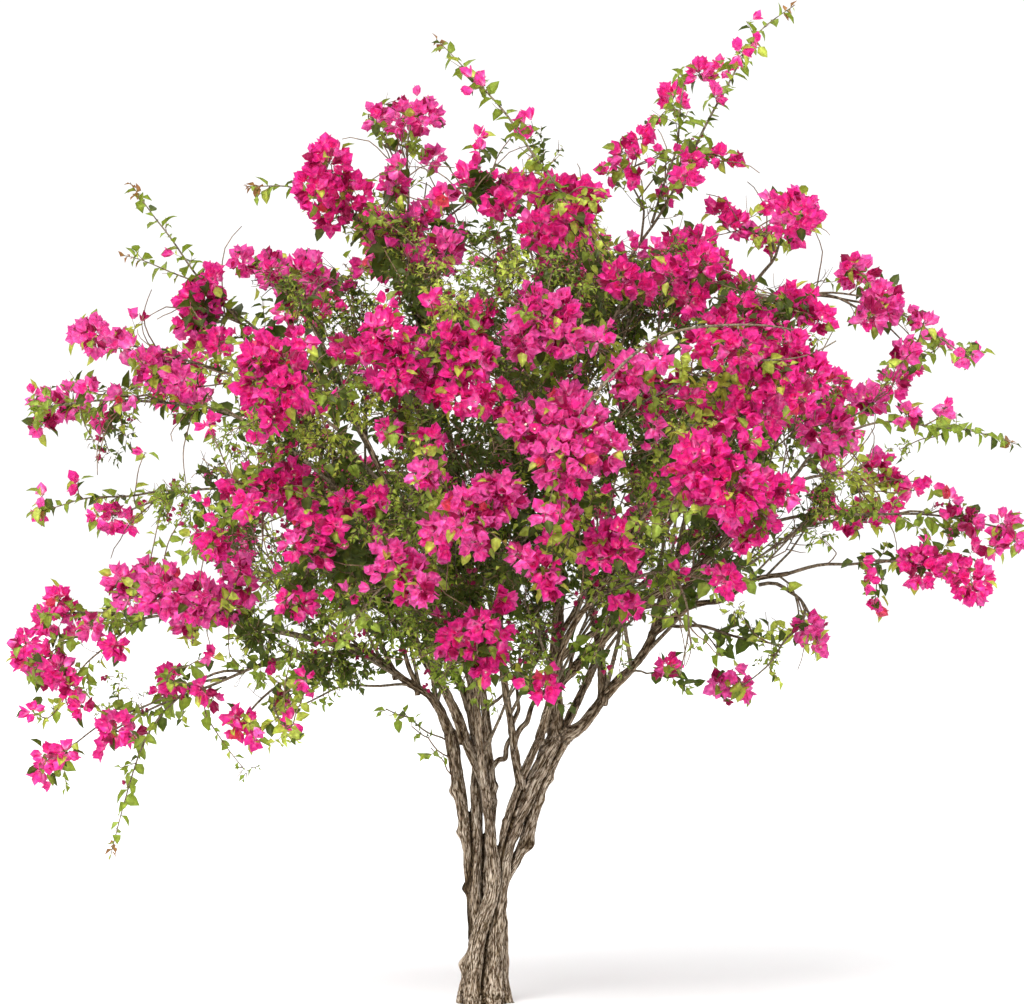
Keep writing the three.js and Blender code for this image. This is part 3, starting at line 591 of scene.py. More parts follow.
# The clusters of blossom on the sprays at the front: each one's x, z and radius
BLOSSOM = {
    "top_left": [
        (-324, 2643, 36), (-258, 2655, 50), (-183, 2649, 50), (-162, 2544, 36), (-273, 2454, 42),
        (-258, 2493, 24), (-318, 2319, 54), (-228, 2304, 54), (-138, 2244, 66), (-183, 2364, 42),
        (-123, 2394, 36),
    ],
    "upper_left": [(-468, 2514, 66), (-513, 2439, 60), (-408, 2424, 66), (-468, 2364, 54)],
    "left_shoulder": [
        (-690, 2165, 42), (-570, 2125, 42), (-640, 2180, 42), (-558, 2199, 66), (-603, 2154, 42),
        (-498, 2154, 42), (-648, 2223, 30), (-723, 2223, 36), (-423, 2214, 30), (-372, 2199, 24),
    ],
    "left_high": [
        (-858, 2109, 66), (-813, 2169, 36), (-903, 2049, 48), (-843, 2019, 54), (-783, 1974, 42),
        (-790, 2105, 24),
    ],
    "left_outer": [
        (-1158, 1989, 54), (-1203, 2004, 36), (-1098, 1974, 42), (-1053, 1959, 24), (-963, 1899, 60),
        (-1008, 1929, 36), (-918, 1869, 42),
    ],
    "left_tip": [
        (-1323, 1794, 48), (-1248, 1809, 54), (-1188, 1839, 30), (-1353, 1734, 30), (-1173, 1764, 30),
        (-1098, 1809, 24), (-1368, 1824, 24),
    ],
    "left_front": [
        (-672, 1944, 60), (-603, 1929, 54), (-693, 1854, 54), (-618, 1824, 66), (-633, 1749, 36),
        (-558, 1974, 42), (-438, 1959, 30), (-378, 1944, 30),
    ],
    "left_middle": [
        (-1104, 1455, 42), (-1143, 1464, 24), (-1065, 1440, 24), (-1344, 1473, 24), (-1314, 1524, 18),
        (-1218, 1563, 15), (-1023, 1650, 18),
    ],
    "left_inner": [
        (-648, 1539, 60), (-588, 1569, 54), (-558, 1509, 42), (-753, 1539, 36), (-708, 1494, 36),
        (-813, 1374, 36), (-423, 1494, 36), (-333, 1509, 36), (-828, 1734, 24),
    ],
    "left_low_front": [
        (-528, 1419, 54), (-573, 1374, 36), (-498, 1344, 42), (-453, 1434, 30), (-558, 1194, 42),
        (-603, 1209, 24),
    ],
    "left_low": [
        (-1095, 1262, 45), (-1190, 1130, 34), (-963, 1239, 78), (-873, 1209, 78), (-783, 1194, 54),
        (-723, 1239, 36), (-1008, 1284, 48), (-738, 1299, 42), (-903, 1134, 36), (-1068, 1209, 36),
    ],
    "far_left": [
        (-1278, 1209, 42), (-1323, 1149, 42), (-1248, 1179, 30), (-1368, 1089, 36), (-1383, 1029, 42),
        (-1308, 1044, 36), (-1278, 999, 42), (-1233, 939, 36), (-1338, 969, 30), (-1338, 885, 24),
        (-1203, 894, 30), (-1098, 1074, 36),
    ],
    "low_left": [
        (-1104, 828, 48), (-1068, 804, 30), (-1308, 744, 36), (-1248, 759, 30), (-1332, 699, 24),
        (-948, 969, 42), (-843, 945, 30), (-813, 1044, 24), (-828, 909, 20),
    ],
    "low_left_inner": [
        (-738, 834, 42), (-753, 860, 24), (-693, 789, 18), (-582, 843, 24), (-543, 969, 24),
    ],
    "front_upper_left": [
        (-303, 2004, 66), (-348, 1959, 42), (-258, 1929, 54), (-273, 1869, 54), (-198, 1884, 48),
        (-153, 1836, 42), (-93, 1808, 44), (-18, 1809, 42), (42, 1809, 42), (-228, 1989, 36),
        (-63, 1944, 66), (-108, 1989, 42), (-18, 1929, 48), (-78, 1884, 42), (-303, 2094, 24),
        (-168, 2109, 24), (-3, 2079, 36), (-18, 2019, 30), (-288, 1719, 30), (-168, 1689, 36),
    ],
    "top": [
        (-48, 2484, 42), (12, 2439, 60), (87, 2454, 48), (-18, 2559, 24), (-24, 2604, 18), (90, 2628, 14),
    ],
    "top_centre": [
        (400, 2170, 54), (470, 2140, 48), (40, 2400, 50), (222, 2409, 90), (162, 2319, 60),
        (297, 2424, 54), (120, 2440, 36), (262, 2340, 48),
    ],
    "front_high": [
        (162, 2034, 90), (222, 2079, 54), (102, 1989, 54), (237, 1989, 54), (147, 2124, 36),
        (432, 1884, 66), (507, 1929, 36), (342, 1989, 30), (507, 1734, 24),
    ],
    "front": [
        (162, 1719, 84), (282, 1719, 90), (222, 1629, 84), (252, 1794, 60), (357, 1659, 60),
        (87, 1734, 42), (267, 1569, 42), (222, 1464, 36), (177, 1464, 24),
    ],
    "front_left": [
        (12, 1509, 72), (-63, 1464, 72), (-138, 1404, 54), (42, 1539, 48), (-33, 1374, 36), (72, 1509, 42),
        (-183, 1584, 42), (102, 1344, 36),
    ],
    "front_low_left": [
        (-273, 1329, 54), (-213, 1284, 54), (-183, 1239, 36), (-303, 1359, 30), (-243, 1224, 30),
    ],
    "front_low": [
        (-78, 1089, 60), (12, 1059, 54), (-18, 1134, 42), (42, 1104, 36), (-3, 999, 30), (-123, 1074, 24),
        (42, 1209, 30), (177, 951, 42),
    ],
    "front_low_right": [
        (357, 1389, 48), (402, 1359, 36), (342, 1329, 36), (177, 1299, 42), (192, 1254, 36),
        (147, 1329, 30),
    ],
    "upper_right": [
        (372, 2199, 48), (432, 2154, 66), (507, 2139, 48), (342, 2274, 24), (642, 2274, 60),
        (567, 2259, 54), (612, 2154, 54), (687, 2199, 54), (762, 2139, 42), (612, 2079, 48),
    ],
    "high_right": [
        (570, 2733, 42), (642, 2784, 36), (678, 2709, 21), (747, 2823, 21), (798, 2853, 15),
        (708, 2799, 24), (507, 2643, 24), (462, 2589, 30), (417, 2544, 36), (366, 2493, 27),
        (438, 2460, 24), (612, 2514, 30), (666, 2553, 27), (702, 2535, 24), (747, 2514, 24),
        (591, 2454, 39), (537, 2424, 24),
    ],
    "top_right": [
        (912, 2349, 72), (852, 2379, 36), (957, 2364, 42), (702, 2373, 36), (747, 2334, 42),
        (852, 2295, 42), (930, 2300, 36),
    ],
    "right_shoulder": [
        (1122, 2184, 54), (1182, 2094, 66), (1137, 2049, 42), (1092, 2205, 30), (1242, 1944, 42),
        (1287, 1914, 36), (1302, 2034, 30), (1347, 1989, 27), (1422, 1959, 21), (1488, 1953, 12),
        (1212, 1854, 42),
    ],
    "right_front_high": [
        (560, 2190, 48), (650, 2220, 50), (620, 2120, 48), (702, 2019, 60), (762, 2079, 48),
        (822, 2019, 60), (942, 2079, 42), (1002, 2049, 42), (912, 2110, 40),
    ],
    "right_front": [
        (912, 1959, 54), (762, 1959, 54), (642, 1974, 42), (972, 1884, 54), (882, 1854, 60),
        (792, 1839, 54), (822, 1929, 42), (702, 1749, 48), (762, 1764, 42), (612, 1809, 30),
        (852, 1749, 42), (942, 1809, 42),
    ],
    "right_inner": [
        (1017, 1719, 72), (1062, 1689, 36), (1152, 1809, 48), (1257, 1764, 30), (1362, 1779, 24),
    ],
    "right_front_low": [
        (642, 1629, 78), (732, 1539, 96), (807, 1449, 66), (822, 1539, 60), (612, 1569, 54),
        (897, 1539, 42), (777, 1389, 36), (792, 1689, 36),
    ],
    "right": [
        (1075, 1445, 40), (1010, 1490, 33), (1182, 1599, 54), (1227, 1554, 30), (1197, 1479, 42),
        (1272, 1539, 24), (1122, 1479, 30), (1332, 1554, 18),
    ],
    "far_right": [
        (1557, 1434, 42), (1578, 1389, 30), (1527, 1365, 30), (1452, 1449, 36), (1392, 1509, 24),
    ],
    "right_low": [
        (1302, 1308, 66), (1257, 1329, 30), (1437, 1269, 66), (1400, 1310, 40), (1137, 1269, 24),
        (1167, 1194, 20), (1116, 1329, 24), (1182, 1222, 14),
    ],
    "low_right": [(966, 1125, 42), (996, 1074, 24), (702, 954, 30), (777, 945, 30), (740, 1000, 24)],
    "low_right_inner": [
        (717, 1269, 42), (682, 1284, 24), (552, 1014, 33), (408, 1194, 36), (440, 1180, 24),
    ],
}

# Lesser branches that show: carrier, how far along it the foot is, bend, tip, radii and whether leafy
LESSER = [
    ("left_low", 0.28, (-330, -90, 1010), (-560, -100, 893), (5, 2.5), False),
    ("left_outer", 0.97, (-200, -40, 845), (-300, -50, 885), (3, 2), False),
    ("left_outer", 0.92, (-170, -30, 790), (-222, -40, 832), (2.6, 1.8), False),
    ("left_outer", 0.86, (-135, -30, 735), (-165, -40, 768), (2.4, 1.6), False),
    ("left_back", 0.9, (45, -5, 715), (73, -20, 795), (8, 7), False),
    ("centre", 0.1, (100, -50, 850), (183, -60, 945), (9, 6), False),
    ("centre", 0.16, (105, -60, 890), (100, -110, 1070), (6, 4), False),
    ("left_main", 1, (-15, -20, 850), (65, -60, 950), (8, 4), False),
    ("left_main", 0.97, (-60, -40, 960), (-20, -150, 1140), (9, 5), True),
    ("left_low", 0.35, (-230, -40, 1060), (-330, -150, 1240), (8, 5), True),
    ("left_low", 0.5, (-330, -60, 1160), (-460, -160, 1270), (7, 4), True),
    ("left_low", 0.15, (-170, -80, 1000), (-240, -200, 1210), (8, 5), True),
    ("top_right", 0.17, (300, -120, 1110), (640, -230, 1400), (10, 6), False),
    ("top_right", 0.2, (235, -60, 1210), (450, -80, 1345), (9, 5), False),
    ("top_right", 0.3, (230, -100, 1320), (300, -200, 1560), (8, 5), True),
    ("right_middle", 0.6, (620, -70, 1190), (700, -80, 1045), (4.5, 2), False),
    ("right_middle", 0.35, (440, -60, 990), (545, -60, 1005), (4.5, 2), True),
    ("right_high", 0.5, (560, -100, 1300), (600, -250, 1480), (7, 4), True),
    ("right_high", 0.35, (500, -160, 1180), (720, -260, 1330), (7, 4), True),
    ("front_right", 0.2, (250, -120, 1000), (330, -200, 1190), (6, 4), True),
    ("right_low", 0.85, (930, -150, 1320), (925, -180, 1130), (4, 2), True),
    ("right_middle", 0.6, (600, -80, 1140), (860, -130, 1080), (6, 3), True),
]

# Leafy masses: x, z, radius, side in the crown's depth, and the shade's place in the list of shades
LEAFY = [
    (420, 1750, 70, -0.4, 0), (500, 1660, 70, -0.4, 0), (560, 1780, 60, -0.4, 1), (640, 1640, 60, -0.5, 0),
    (-1100, 960, 40, -0.3, 1), (-1040, 900, 36, -0.3, 2), (-1150, 880, 34, -0.3, 1),
    (-1110, 1150, 45, -0.3, 1), (-1020, 1190, 40, -0.3, 2), (-1130, 1650, 40, -0.25, 0),
    (-1060, 1760, 36, -0.3, 1), (-900, 1560, 40, -0.4, 1), (330, 1050, 45, -0.4, 1),
    (270, 1000, 40, -0.4, 0), (400, 1010, 36, -0.3, 1), (-120, 1010, 50, -0.5, 1),
    (-60, 1050, 45, -0.5, 2), (-150, 960, 34, -0.4, 0), (-30, 1090, 40, -0.6, 1), (290, 1900, 50, -0.8, 0),
    (340, 1840, 45, -0.8, 1), (740, 950, 34, -0.4, 1), (-640, 1280, 60, -0.6, 1),
    (-560, 1230, 60, -0.6, 2), (-450, 1270, 66, -0.6, 1), (-400, 1180, 66, -0.6, 2),
    (-480, 1130, 60, -0.5, 1), (-660, 1090, 60, -0.4, 0), (-580, 1070, 54, -0.5, 1),
    (-380, 1010, 54, -0.4, 0), (-480, 970, 45, -0.4, 1), (-200, 1150, 60, -0.6, 1),
    (-190, 1060, 50, -0.5, 2), (-100, 1230, 50, -0.6, 0), (0, 1200, 54, -0.6, 1), (-30, 930, 36, -0.3, 1),
    (25, 900, 34, -0.2, 1), (60, 1290, 50, -0.7, 0), (-720, 1640, 45, -0.5, 1), (-640, 1650, 50, -0.6, 2),
    (-560, 1680, 50, -0.6, 1), (-700, 1740, 45, -0.5, 2), (-700, 1180, 45, -0.5, 1),
    (-380, 1420, 50, -0.8, 1), (-300, 1400, 45, -0.8, 1), (-1180, 1690, 34, -0.2, 1),
    (-150, 2190, 60, -0.6, 2), (-30, 2180, 66, -0.7, 1), (90, 2200, 60, -0.8, 2), (200, 2210, 54, -0.8, 1),
    (280, 2140, 50, -0.8, 1), (-200, 2260, 45, -0.5, 1), (-100, 2110, 50, -0.8, 2),
    (20, 2120, 50, -0.8, 0), (-1120, 1725, 36, -0.25, 0), (-890, 1480, 50, -0.4, 1),
    (-440, 1030, 55, -0.4, 1), (-350, 1090, 45, -0.4, 2), (-170, 1060, 50, -0.5, 1),
    (-60, 1000, 45, -0.4, 1), (60, 1020, 45, -0.4, 0), (150, 1050, 45, -0.5, 1), (60, 2200, 70, -0.4, 1),
    (180, 2230, 60, -0.3, 0), (1062, 1500, 50, -0.3, 1), (1000, 1400, 45, -0.3, 1),
    (-234, 2139, 66, -0.45, 0), (-93, 2079, 66, -0.6, 2), (-468, 1689, 75, -0.7, 2),
    (-213, 1449, 80, -0.75, 1), (492, 1569, 66, -0.7, 1), (102, 1884, 50, -0.75, 0),
    (-290, 1140, 70, -0.5, 1), (-450, 1210, 70, -0.5, 1), (-50, 1240, 60, -0.6, 0),
    (100, 1140, 60, -0.5, 1), (-460, 1030, 60, -0.4, 0), (540, 1300, 50, -0.5, 1),
    (750, 1180, 45, -0.4, 2), (850, 1050, 42, -0.4, 1), (-150, 2010, 40, -0.8, 2),
    (-380, 1780, 60, -0.8, 2), (-760, 1700, 60, -0.5, 1), (-960, 1500, 60, -0.35, 1),
    (-1080, 1700, 36, -0.25, 0), (330, 1240, 45, -0.6, 1), (-700, 1100, 60, -0.5, 0),
    (-520, 990, 50, -0.4, 0), (600, 1720, 50, -0.6, 1), (330, 2120, 50, -0.3, 2), (-723, 699, 36, -0.4, 1),
    (20, 2300, 60, -0.2, 1), (1010, 1560, 45, -0.3, 1), (1240, 1660, 36, -0.2, 1),
    (-250, 1600, 55, -0.7, 1),
]

# Where the photo shows sky through the crown: the x, z and radius of each gap, on the plane through the trunk
GAPS = np.array([
    (-363, 1665, 50), (-228, 1599, 27), (-429, 1725, 24), (-612, 1443, 32), (-1008, 1590, 60),
    (-1240, 1660, 60), (-918, 1644, 40), (-222, 2409, 30), (-348, 2514, 36), (-117, 2613, 36),
    (-438, 2229, 44), (-318, 2154, 38), (-708, 2140, 34), (402, 2364, 66), (507, 2334, 40),
    (1062, 2109, 56), (640, 2370, 40), (-600, 2330, 50), (1056, 1959, 38), (1107, 1914, 30),
    (1110, 1740, 36), (972, 1575, 36), (912, 1449, 30), (1056, 1520, 24), (1068, 1320, 54),
    (402, 1485, 40), (327, 1449, 30), (890, 1300, 56), (792, 1719, 22), (560, 1440, 26), (777, 2223, 56),
    (850, 2160, 40), (912, 2199, 66), (-130, 1180, 16), (330, 1100, 28), (260, 1180, 26),
    (-1000, 1120, 45), (-800, 1000, 40), (840, 1200, 70), (1000, 1230, 50), (690, 1180, 34),
    (470, 1290, 26), (-330, 955, 30), (610, 1290, 24), (-20, 2370, 24), (320, 2290, 22), (-520, 1330, 20),
])

rng = np.random.default_rng(SEED)
tubes = []
leaves = []
sets = []


def shoot_line(start, heading, length, rise):
    """A fine shoot's line: it wanders a little and turns upwards, or droops where the rise is negative."""
    drift = np.cumsum(rng.normal(0, SHOOT.wander, (SHOOT.bends, 3)), axis=0)
    lift = np.linspace(0, 1, SHOOT.bends)[:, None] * rise * UP
    strides = unit(heading + drift + lift) * length / SHOOT.bends
    return np.concatenate([[start], start + np.cumsum(strides, axis=0)])


def along_line(points, distances):
    """The places and directions at these distances along a line of points."""
    reached = reached_at(points)
    places = np.stack([np.interp(distances, reached, points[:, k]) for k in range(3)], axis=1)
    stretch = np.clip(np.searchsorted(reached, distances) - 1, 0, len(points) - 2)
    return places, unit(np.diff(points, axis=0))[stretch]


def turned(way, least, most):
    """A way that opens from this one by a random angle, on a random side."""
    return besides(way, rng.uniform(least, most), rng.uniform(0, FULL_TURN))


def put_line(points, foot, tip, sides=SHOOT.sides):
    """A tube along a line of points that tapers from one radius to another."""
    tubes.append((points, np.linspace(foot, tip, len(points)), sides))


def put_tube(limb, joints, sides):
    """A limb as a tube through this many places, which it returns."""
    shares = np.linspace(0, 1, joints)
    points = limb.at(shares)
    tubes.append((points, limb.radius_at(shares), sides))
    return points


def outward(place):
    """The way out of the crown from a place, square to its dome."""
    return unit((place - CROWN.middle) / CROWN.half**2)


def in_dome(place, limit=0.62):
    """Whether a place lies in the inner part of the crown's dome that the limit says."""
    return np.sum(((place - CROWN.middle) / CROWN.half) ** 2) < limit


def in_gaps(places):
    """Which places show in a gap, from where the photo is taken."""
    scale = VIEW.distance / (VIEW.distance + places[:, 1:2])
    x, z = VIEW.x + (places[:, :1] - VIEW.x) * scale, VIEW.z + (places[:, 2:] - VIEW.z) * scale
    return np.any(np.hypot(x - GAPS[:, 0], z - GAPS[:, 1]) < GAPS[:, 2], axis=1)


def stays_open(place):
    """Whether a shoot is left out at a place: in the gaps, and by chance towards the crown's edge."""
    out = np.linalg.norm(((place - CROWN.middle) / CROWN.half)[[0, 2]])
    fullness = max(THINNING.least, THINNING.full - THINNING.fall * out)
    return rng.random() > fullness or in_gaps(place[None])[0]


def put_leaves(points, length, pitch, size, shade):
    """Leaves along a shoot, each a golden angle round from the last, with their faces turned up. Deep in the
    crown more of them are dark, as painted shade, and the dark ones are larger."""
    distances = np.arange(pitch * 0.8, length, pitch)
    count = len(distances)
    if not count:
        return
    places, ways = along_line(points, distances)
    turns = rng.uniform(0, FULL_TURN) + GOLDEN_ANGLE * np.arange(count)
    along = besides(ways, LEAF.opening + rng.normal(0, LEAF.vary, count), turns)
    along = unit(along - LEAF.droop * UP)
    normal = LEAF.up * UP + LEAF.out * outward(places) + rng.normal(0, LEAF.astray, (count, 3))
    sizes = size * rng.uniform(*LEAF.sizes, count) * (LEAF.foot - LEAF.fall * distances / length)
    shades = np.where(rng.random(count) < OWN_SHARE, shade, rng.integers(0, GREENS, count))
    out = np.linalg.norm((places - CROWN.middle) / CROWN.half, axis=1)
    # Painted shade: deeper in the crown more leaves take the dark shade
    shades = np.where(rng.random(count) > PAINTED_SHADE_DEPTH.fade * out - PAINTED_SHADE_DEPTH.start, DARK, shades)
    sizes = np.where((shades == DARK) & (out < LEAF.painted_shade_within), LEAF.deep * sizes, sizes)
    kept = ~in_gaps(places)
    leaves.append((places[kept], along[kept], normal[kept], sizes[kept], shades[kept]))


def put_sets(places, axes, hue):
    """Sets of three bracts, most in the cluster's own hue."""
    kept = ~in_gaps(places)
    places, axes, count = places[kept], axes[kept], kept.sum()
    hues = np.where(rng.random(count) < OWN_SHARE, hue, rng.choice(len(HUES), count, p=HUE_SHARES))
    sets.append((places, axes, rng.uniform(*BRACT.sizes, count), hues))


def put_buds(points, length):
    """A few small dark young sets along a bare end of a shoot."""
    distances = rng.uniform(*BUD.at, rng.integers(*BUD.counts)) * length
    places, ways = along_line(points, distances)
    count = len(places)
    axes = besides(ways, rng.uniform(*BUD.opening, count), rng.uniform(0, FULL_TURN, count))
    sets.append((places + axes * BUD.stalk, axes, rng.uniform(*BUD.sizes, count), np.full(count, SHADE_AND_BUD_HUE)))


def put_cluster(tip, heading, count, hue):
    """A loose cluster of sets at a shoot's tip, each on a stalk."""
    spread = LOOSE.spread * math.sqrt(count)
    places = tip + rng.normal(0, 1, (count, 3)) * spread * LOOSE.astray + heading * spread * LOOSE.ahead
    axes = unit(places - tip + 30 * heading + rng.normal(0, 12, (count, 3)))
    put_sets(places, axes, hue)
    for place in places[~in_gaps(places)]:
        put_line(np.stack([tip, place]), STALK_RADIUS, SHOOT.tip)


def grow_shoot(start, heading, length, rise, size, shade, blossom=0.0, hue=MAGENTA, forks=0):
    """One fine shoot with its leaves or bare, a few side shoots, and by chance buds or a loose cluster."""
    points = shoot_line(start, heading, length, rise)
    put_line(points, SHOOT.radius, SHOOT.tip)
    chance = rng.random()
    if chance > SHOOT.budless:
        put_buds(points, length)
    elif chance < SHOOT.leafy:
        put_leaves(points, length, LEAF.inner_pitch if size == LEAF.inner else LEAF.pitch, size, shade)
    for _ in range(forks):
        (place,), (way,) = along_line(points, [length * rng.uniform(*SHOOT.forks.at)])
        heading = turned(way, *SHOOT.forks.opening)
        grow_shoot(place, heading, length * rng.uniform(*SHOOT.forks.length), rise, size, shade, blossom, hue)
    if chance < blossom:
        put_cluster(points[-1], unit(points[-1] - points[-2]), rng.integers(1, 4), hue)


def grow_bare(limb):
    """Bare fine twigs that arch out from the outer stretch of a limb, inside the crown."""
    shares = rng.uniform(*BARE.at, BARE.count)
    for start, way in zip(limb.at(shares), limb.tangent(shares)):
        out = outward(start)
        side = turned(out, *BARE.opening)
        span = BARE.length * rng.uniform(*BARE.spans)
        tip = start + span * unit(side + 0.35 * way)
        bend = (start + tip) / 2 + out * span * 0.3
        twig = bent_limb(start, bend, tip, tapered(*BARE.radii), BARE.sway, span)
        points = twig.at(np.linspace(0, 1, BARE.joints))
        if in_dome(tip, 0.75) and in_dome(bend, 0.85) and not in_gaps(points).any():
            put_tube(twig, BARE.joints, BARE.sides)


def clothe(
    limb, start, end, pitch, length, size, shade, blossom=0.0, hue=MAGENTA, forks=1, rise=0.5, thinned=True
):
    """Fine shoots all the way along a stretch of a limb, or fewer where the crown is thin."""
    count = max(1, int(limb.length * (end - start) / pitch))
    shares = start + (end - start) * (np.arange(count) + rng.random(count)) / count
    places, ways = limb.at(shares), limb.tangent(shares)
    for i in range(count):
        opening = rng.uniform(*CLOTHED.opening)
        turn = besides(ways[i], opening, i * GOLDEN_ANGLE + rng.normal(0, CLOTHED.astray))
        heading = unit(turn + CLOTHED.out * outward(places[i]) * rng.random())
        if thinned and stays_open(places[i] + heading * length * 0.5):
            continue
        own = length * rng.uniform(*CLOTHED.lengths)
        grow_shoot(places[i], heading, own, rise, size, shade, blossom, hue, forks)


def shell(middle, radius, count, least, most):
    """Places in a lumpy shell round a middle, between two shares of its radius, and their ways out."""
    heights = 1 - 2 * (np.arange(count) + rng.random(count)) / count
    turns = GOLDEN_ANGLE * np.arange(count) + rng.uniform(0, FULL_TURN)
    flat = np.sqrt(1 - heights**2)
    ways = np.stack([flat * np.cos(turns), flat * np.sin(turns), heights], axis=1)
    ways = unit(ways + rng.normal(0, 0.15, (count, 3)))
    return middle + ways * radius * rng.uniform(least, most, (count, 1)), ways


def dress_cluster(middle, radius, hue):
    """Sets of bracts that open out of a ball, on stalks, over inner ones in a darker hue as painted shade,
    with a few leaves among them.
    """
    count = max(1, round(radius**2 / BRACT.set_area))
    places, ways = shell(middle, max(radius - CLUSTER.depth, radius * CLUSTER.least), count, 0.72, 1.0)
    axes = unit(ways + 0.45 * outward(middle) + 0.15 * UP + rng.normal(0, 0.38, (count, 3)))
    put_sets(places, axes, hue)
    # Inner sets in the darker deep hue, as painted shade inside the cluster
    inner, within = shell(middle, radius * CLUSTER.fill, count // 7, 0.3, 1.0)
    put_sets(inner, within, SHADE_AND_BUD_HUE)
    for place in places[:: max(1, round(count / CLUSTER.stalks))]:
        points = np.linspace(middle, place, 3)
        points[1] += rng.normal(0, radius * 0.08, 3)
        put_line(points, CLUSTER.stalk, SHOOT.tip)
    around, out = shell(middle, radius, 2 + count // 7, 0.4, 0.95)
    normals = UP + rng.normal(0, 0.5, out.shape)
    shades = rng.integers(0, GREENS, len(out))
    leaves.append((around, unit(out - LEAF.droop * UP), normals, np.full(len(out), LEAF.length), shades))


def dress_mass(middle, radius, shade):
    """A dense mass of leafy shoots about a place."""
    count = max(4, round((radius / MASS.pitch) ** 2))
    for place, way in zip(*shell(middle, radius, count, *MASS.shell)):
        heading = unit(way + MASS.out * outward(middle))
        grow_shoot(place, heading, radius * rng.uniform(*MASS.shoots), MASS.rise, LEAF.inner, shade)


def seen_at(x, z, side):
    """A place in the crown that is seen in front of this x and z of the plane through the trunk."""
    place = place_in_crown(x, z, side)
    nearer = 1 + place[1] / VIEW.distance
    return vec(VIEW.x + (x - VIEW.x) * nearer, place[1], VIEW.z + (z - VIEW.z) * nearer)


def nearest_twig(spray, place):
    """How far the place on the spray's twigs is that is nearest to another, that place and the twig's way."""
    found = None
    for twig in spray.twigs:
        shares = np.linspace(0.2, 1, 30)
        points = twig.limb.at(shares)
        spans = np.linalg.norm(points - place, axis=1)
        i = int(np.argmin(spans))
        if found is None or spans[i] < found[0]:
            found = (spans[i], points[i], twig.limb.tangent(shares[i])[0])
    return found


def reach_out(span, start, way, tip, shade):
    """A fine twig from one that is already there, by a bend, to a tip, with leaves along it."""
    lead = REACH.follow * way + REACH.lead * unit(tip - start)
    bend = start + span * lead + span * REACH.lift * UP
    sway = min(REACH.sway, span * REACH.sway_share)
    limb = bent_limb(start, bend, tip, tapered(*REACH.radii), sway, rng.uniform(0, FULL_TURN))
    points = put_tube(limb, max(3, int(span / REACH.step)) + 1, REACH.sides)
    put_leaves(points, limb.length * 0.9, REACH.pitch, LEAF.length, shade)


def dress_cane(limb):
    """A long cane with leaves close along it, the last ones small and bronze, and a few small shoots."""
    points = limb.at(np.linspace(0, 1, int(limb.length / CANE.step) + 1))
    put_leaves(points, limb.length * 0.94, CANE.step, LEAF.length * CANE.leaf, MID)
    put_leaves(points[-4:], CANE.tip_run, CANE.tip_pitch, LEAF.length * CANE.tip_leaf, BRONZE)
    size = LEAF.length
    clothe(limb, 0.12, 0.9, CANE.shoots, CANE.shoot, size, MID, blossom=0.1, forks=0, rise=0.2, thinned=False)


def lobes(spray):
    """A back spray's clusters: several about each head."""
    found = []
    for ball in spray.heads:
        places, _ = shell(ball.middle, ball.radius, round(ball.radius / LOBE.pitch), *LOBE.shell)
        found += [(place, ball.radius * rng.uniform(*LOBE.radii)) for place in places]
    return found


def clusters_of(spray):
    """The middles and radii of a spray's clusters, which stray in depth, most at the crown's sides."""
    if spray.name not in BLOSSOM:
        return lobes(spray)
    placed = []
    stray = STRAY.front + STRAY.side * (1 - abs(spray.side))
    for x, z, radius in BLOSSOM[spray.name]:
        middle = seen_at(x, z, spray.side) + vec(0, rng.normal(0, 1) * stray, 0)
        placed.append((middle, radius))
    return placed


def dress_spray(spray, index):
    """A spray's twigs with their shoots, and its clusters, each on a twig that reaches out to it."""
    shade = (MID, LIGHT, MID, DARK, LIGHT, MID)[index % 6]
    hue = PINK if spray.name in PINK_SPRAYS else MAGENTA
    for twig in spray.twigs:
        limb = twig.limb
        put_tube(limb, max(OWN_TWIG.least_steps, int(limb.length / OWN_TWIG.step)) + 1, OWN_TWIG.sides)
        if twig.kind == "cane":
            dress_cane(limb)
            continue
        blossom = OWN_TWIG.blossom[twig.kind]
        clothe(limb, OWN_TWIG.bare, 1, OWN_TWIG.pitch, OWN_TWIG.shoots, LEAF.length, shade, blossom, hue)
        grow_bare(limb)
    for middle, radius in clusters_of(spray):
        span, start, way = nearest_twig(spray, middle)
        if span > 0.3 * radius:
            reach_out(span, start, way, middle, shade)
        dress_cluster(middle, radius, hue)


def grow_branch(start, heading, length, radius, shade, level):
    """A lesser branch. It forks as often over as the level says, and its last forks are clothed."""
    points = shoot_line(start, heading, length, BRANCH.rise)
    if not in_dome(points[-1]) or in_gaps(points[1:]).any():
        return
    put_line(points, radius, radius * BRANCH.tip, BRANCH.sides)
    if level == 0:
        clothe_branch(points, length, shade)
        return
    for i in range(BRANCH.forks):
        share = BRANCH.forks_from + BRANCH.forks_over * (i + rng.random()) / BRANCH.forks
        (place,), (way,) = along_line(points, [length * share])
        heading = unit(turned(way, *BRANCH.opening) + BRANCH.lift * UP)
        own = length * rng.uniform(*BRANCH.lengths)
        grow_branch(place, heading, own, radius * BRANCH.thin, shade, level - 1)


def clothe_branch(points, length, shade):
    """Bare shoots and leafy ones along a lesser branch's last fork."""
    bare, leafy = BRANCH.bare, BRANCH.leafy
    for place, way in zip(*along_line(points, rng.uniform(0.2, 1, bare.count) * length)):
        heading = turned(way, *bare.opening)
        line = shoot_line(place, heading, rng.uniform(*bare.length), bare.rise)
        if not in_gaps(line[1:]).any():
            put_line(line, *bare.radii)
    for place, way in zip(*along_line(points, np.linspace(0.3, 1, leafy.count) * length)):
        heading = turned(way, *leafy.opening)
        if not stays_open(place):
            own = rng.uniform(*leafy.length)
            grow_shoot(place, heading, own, leafy.rise, LEAF.inner, shade, leafy.blossom, forks=1)


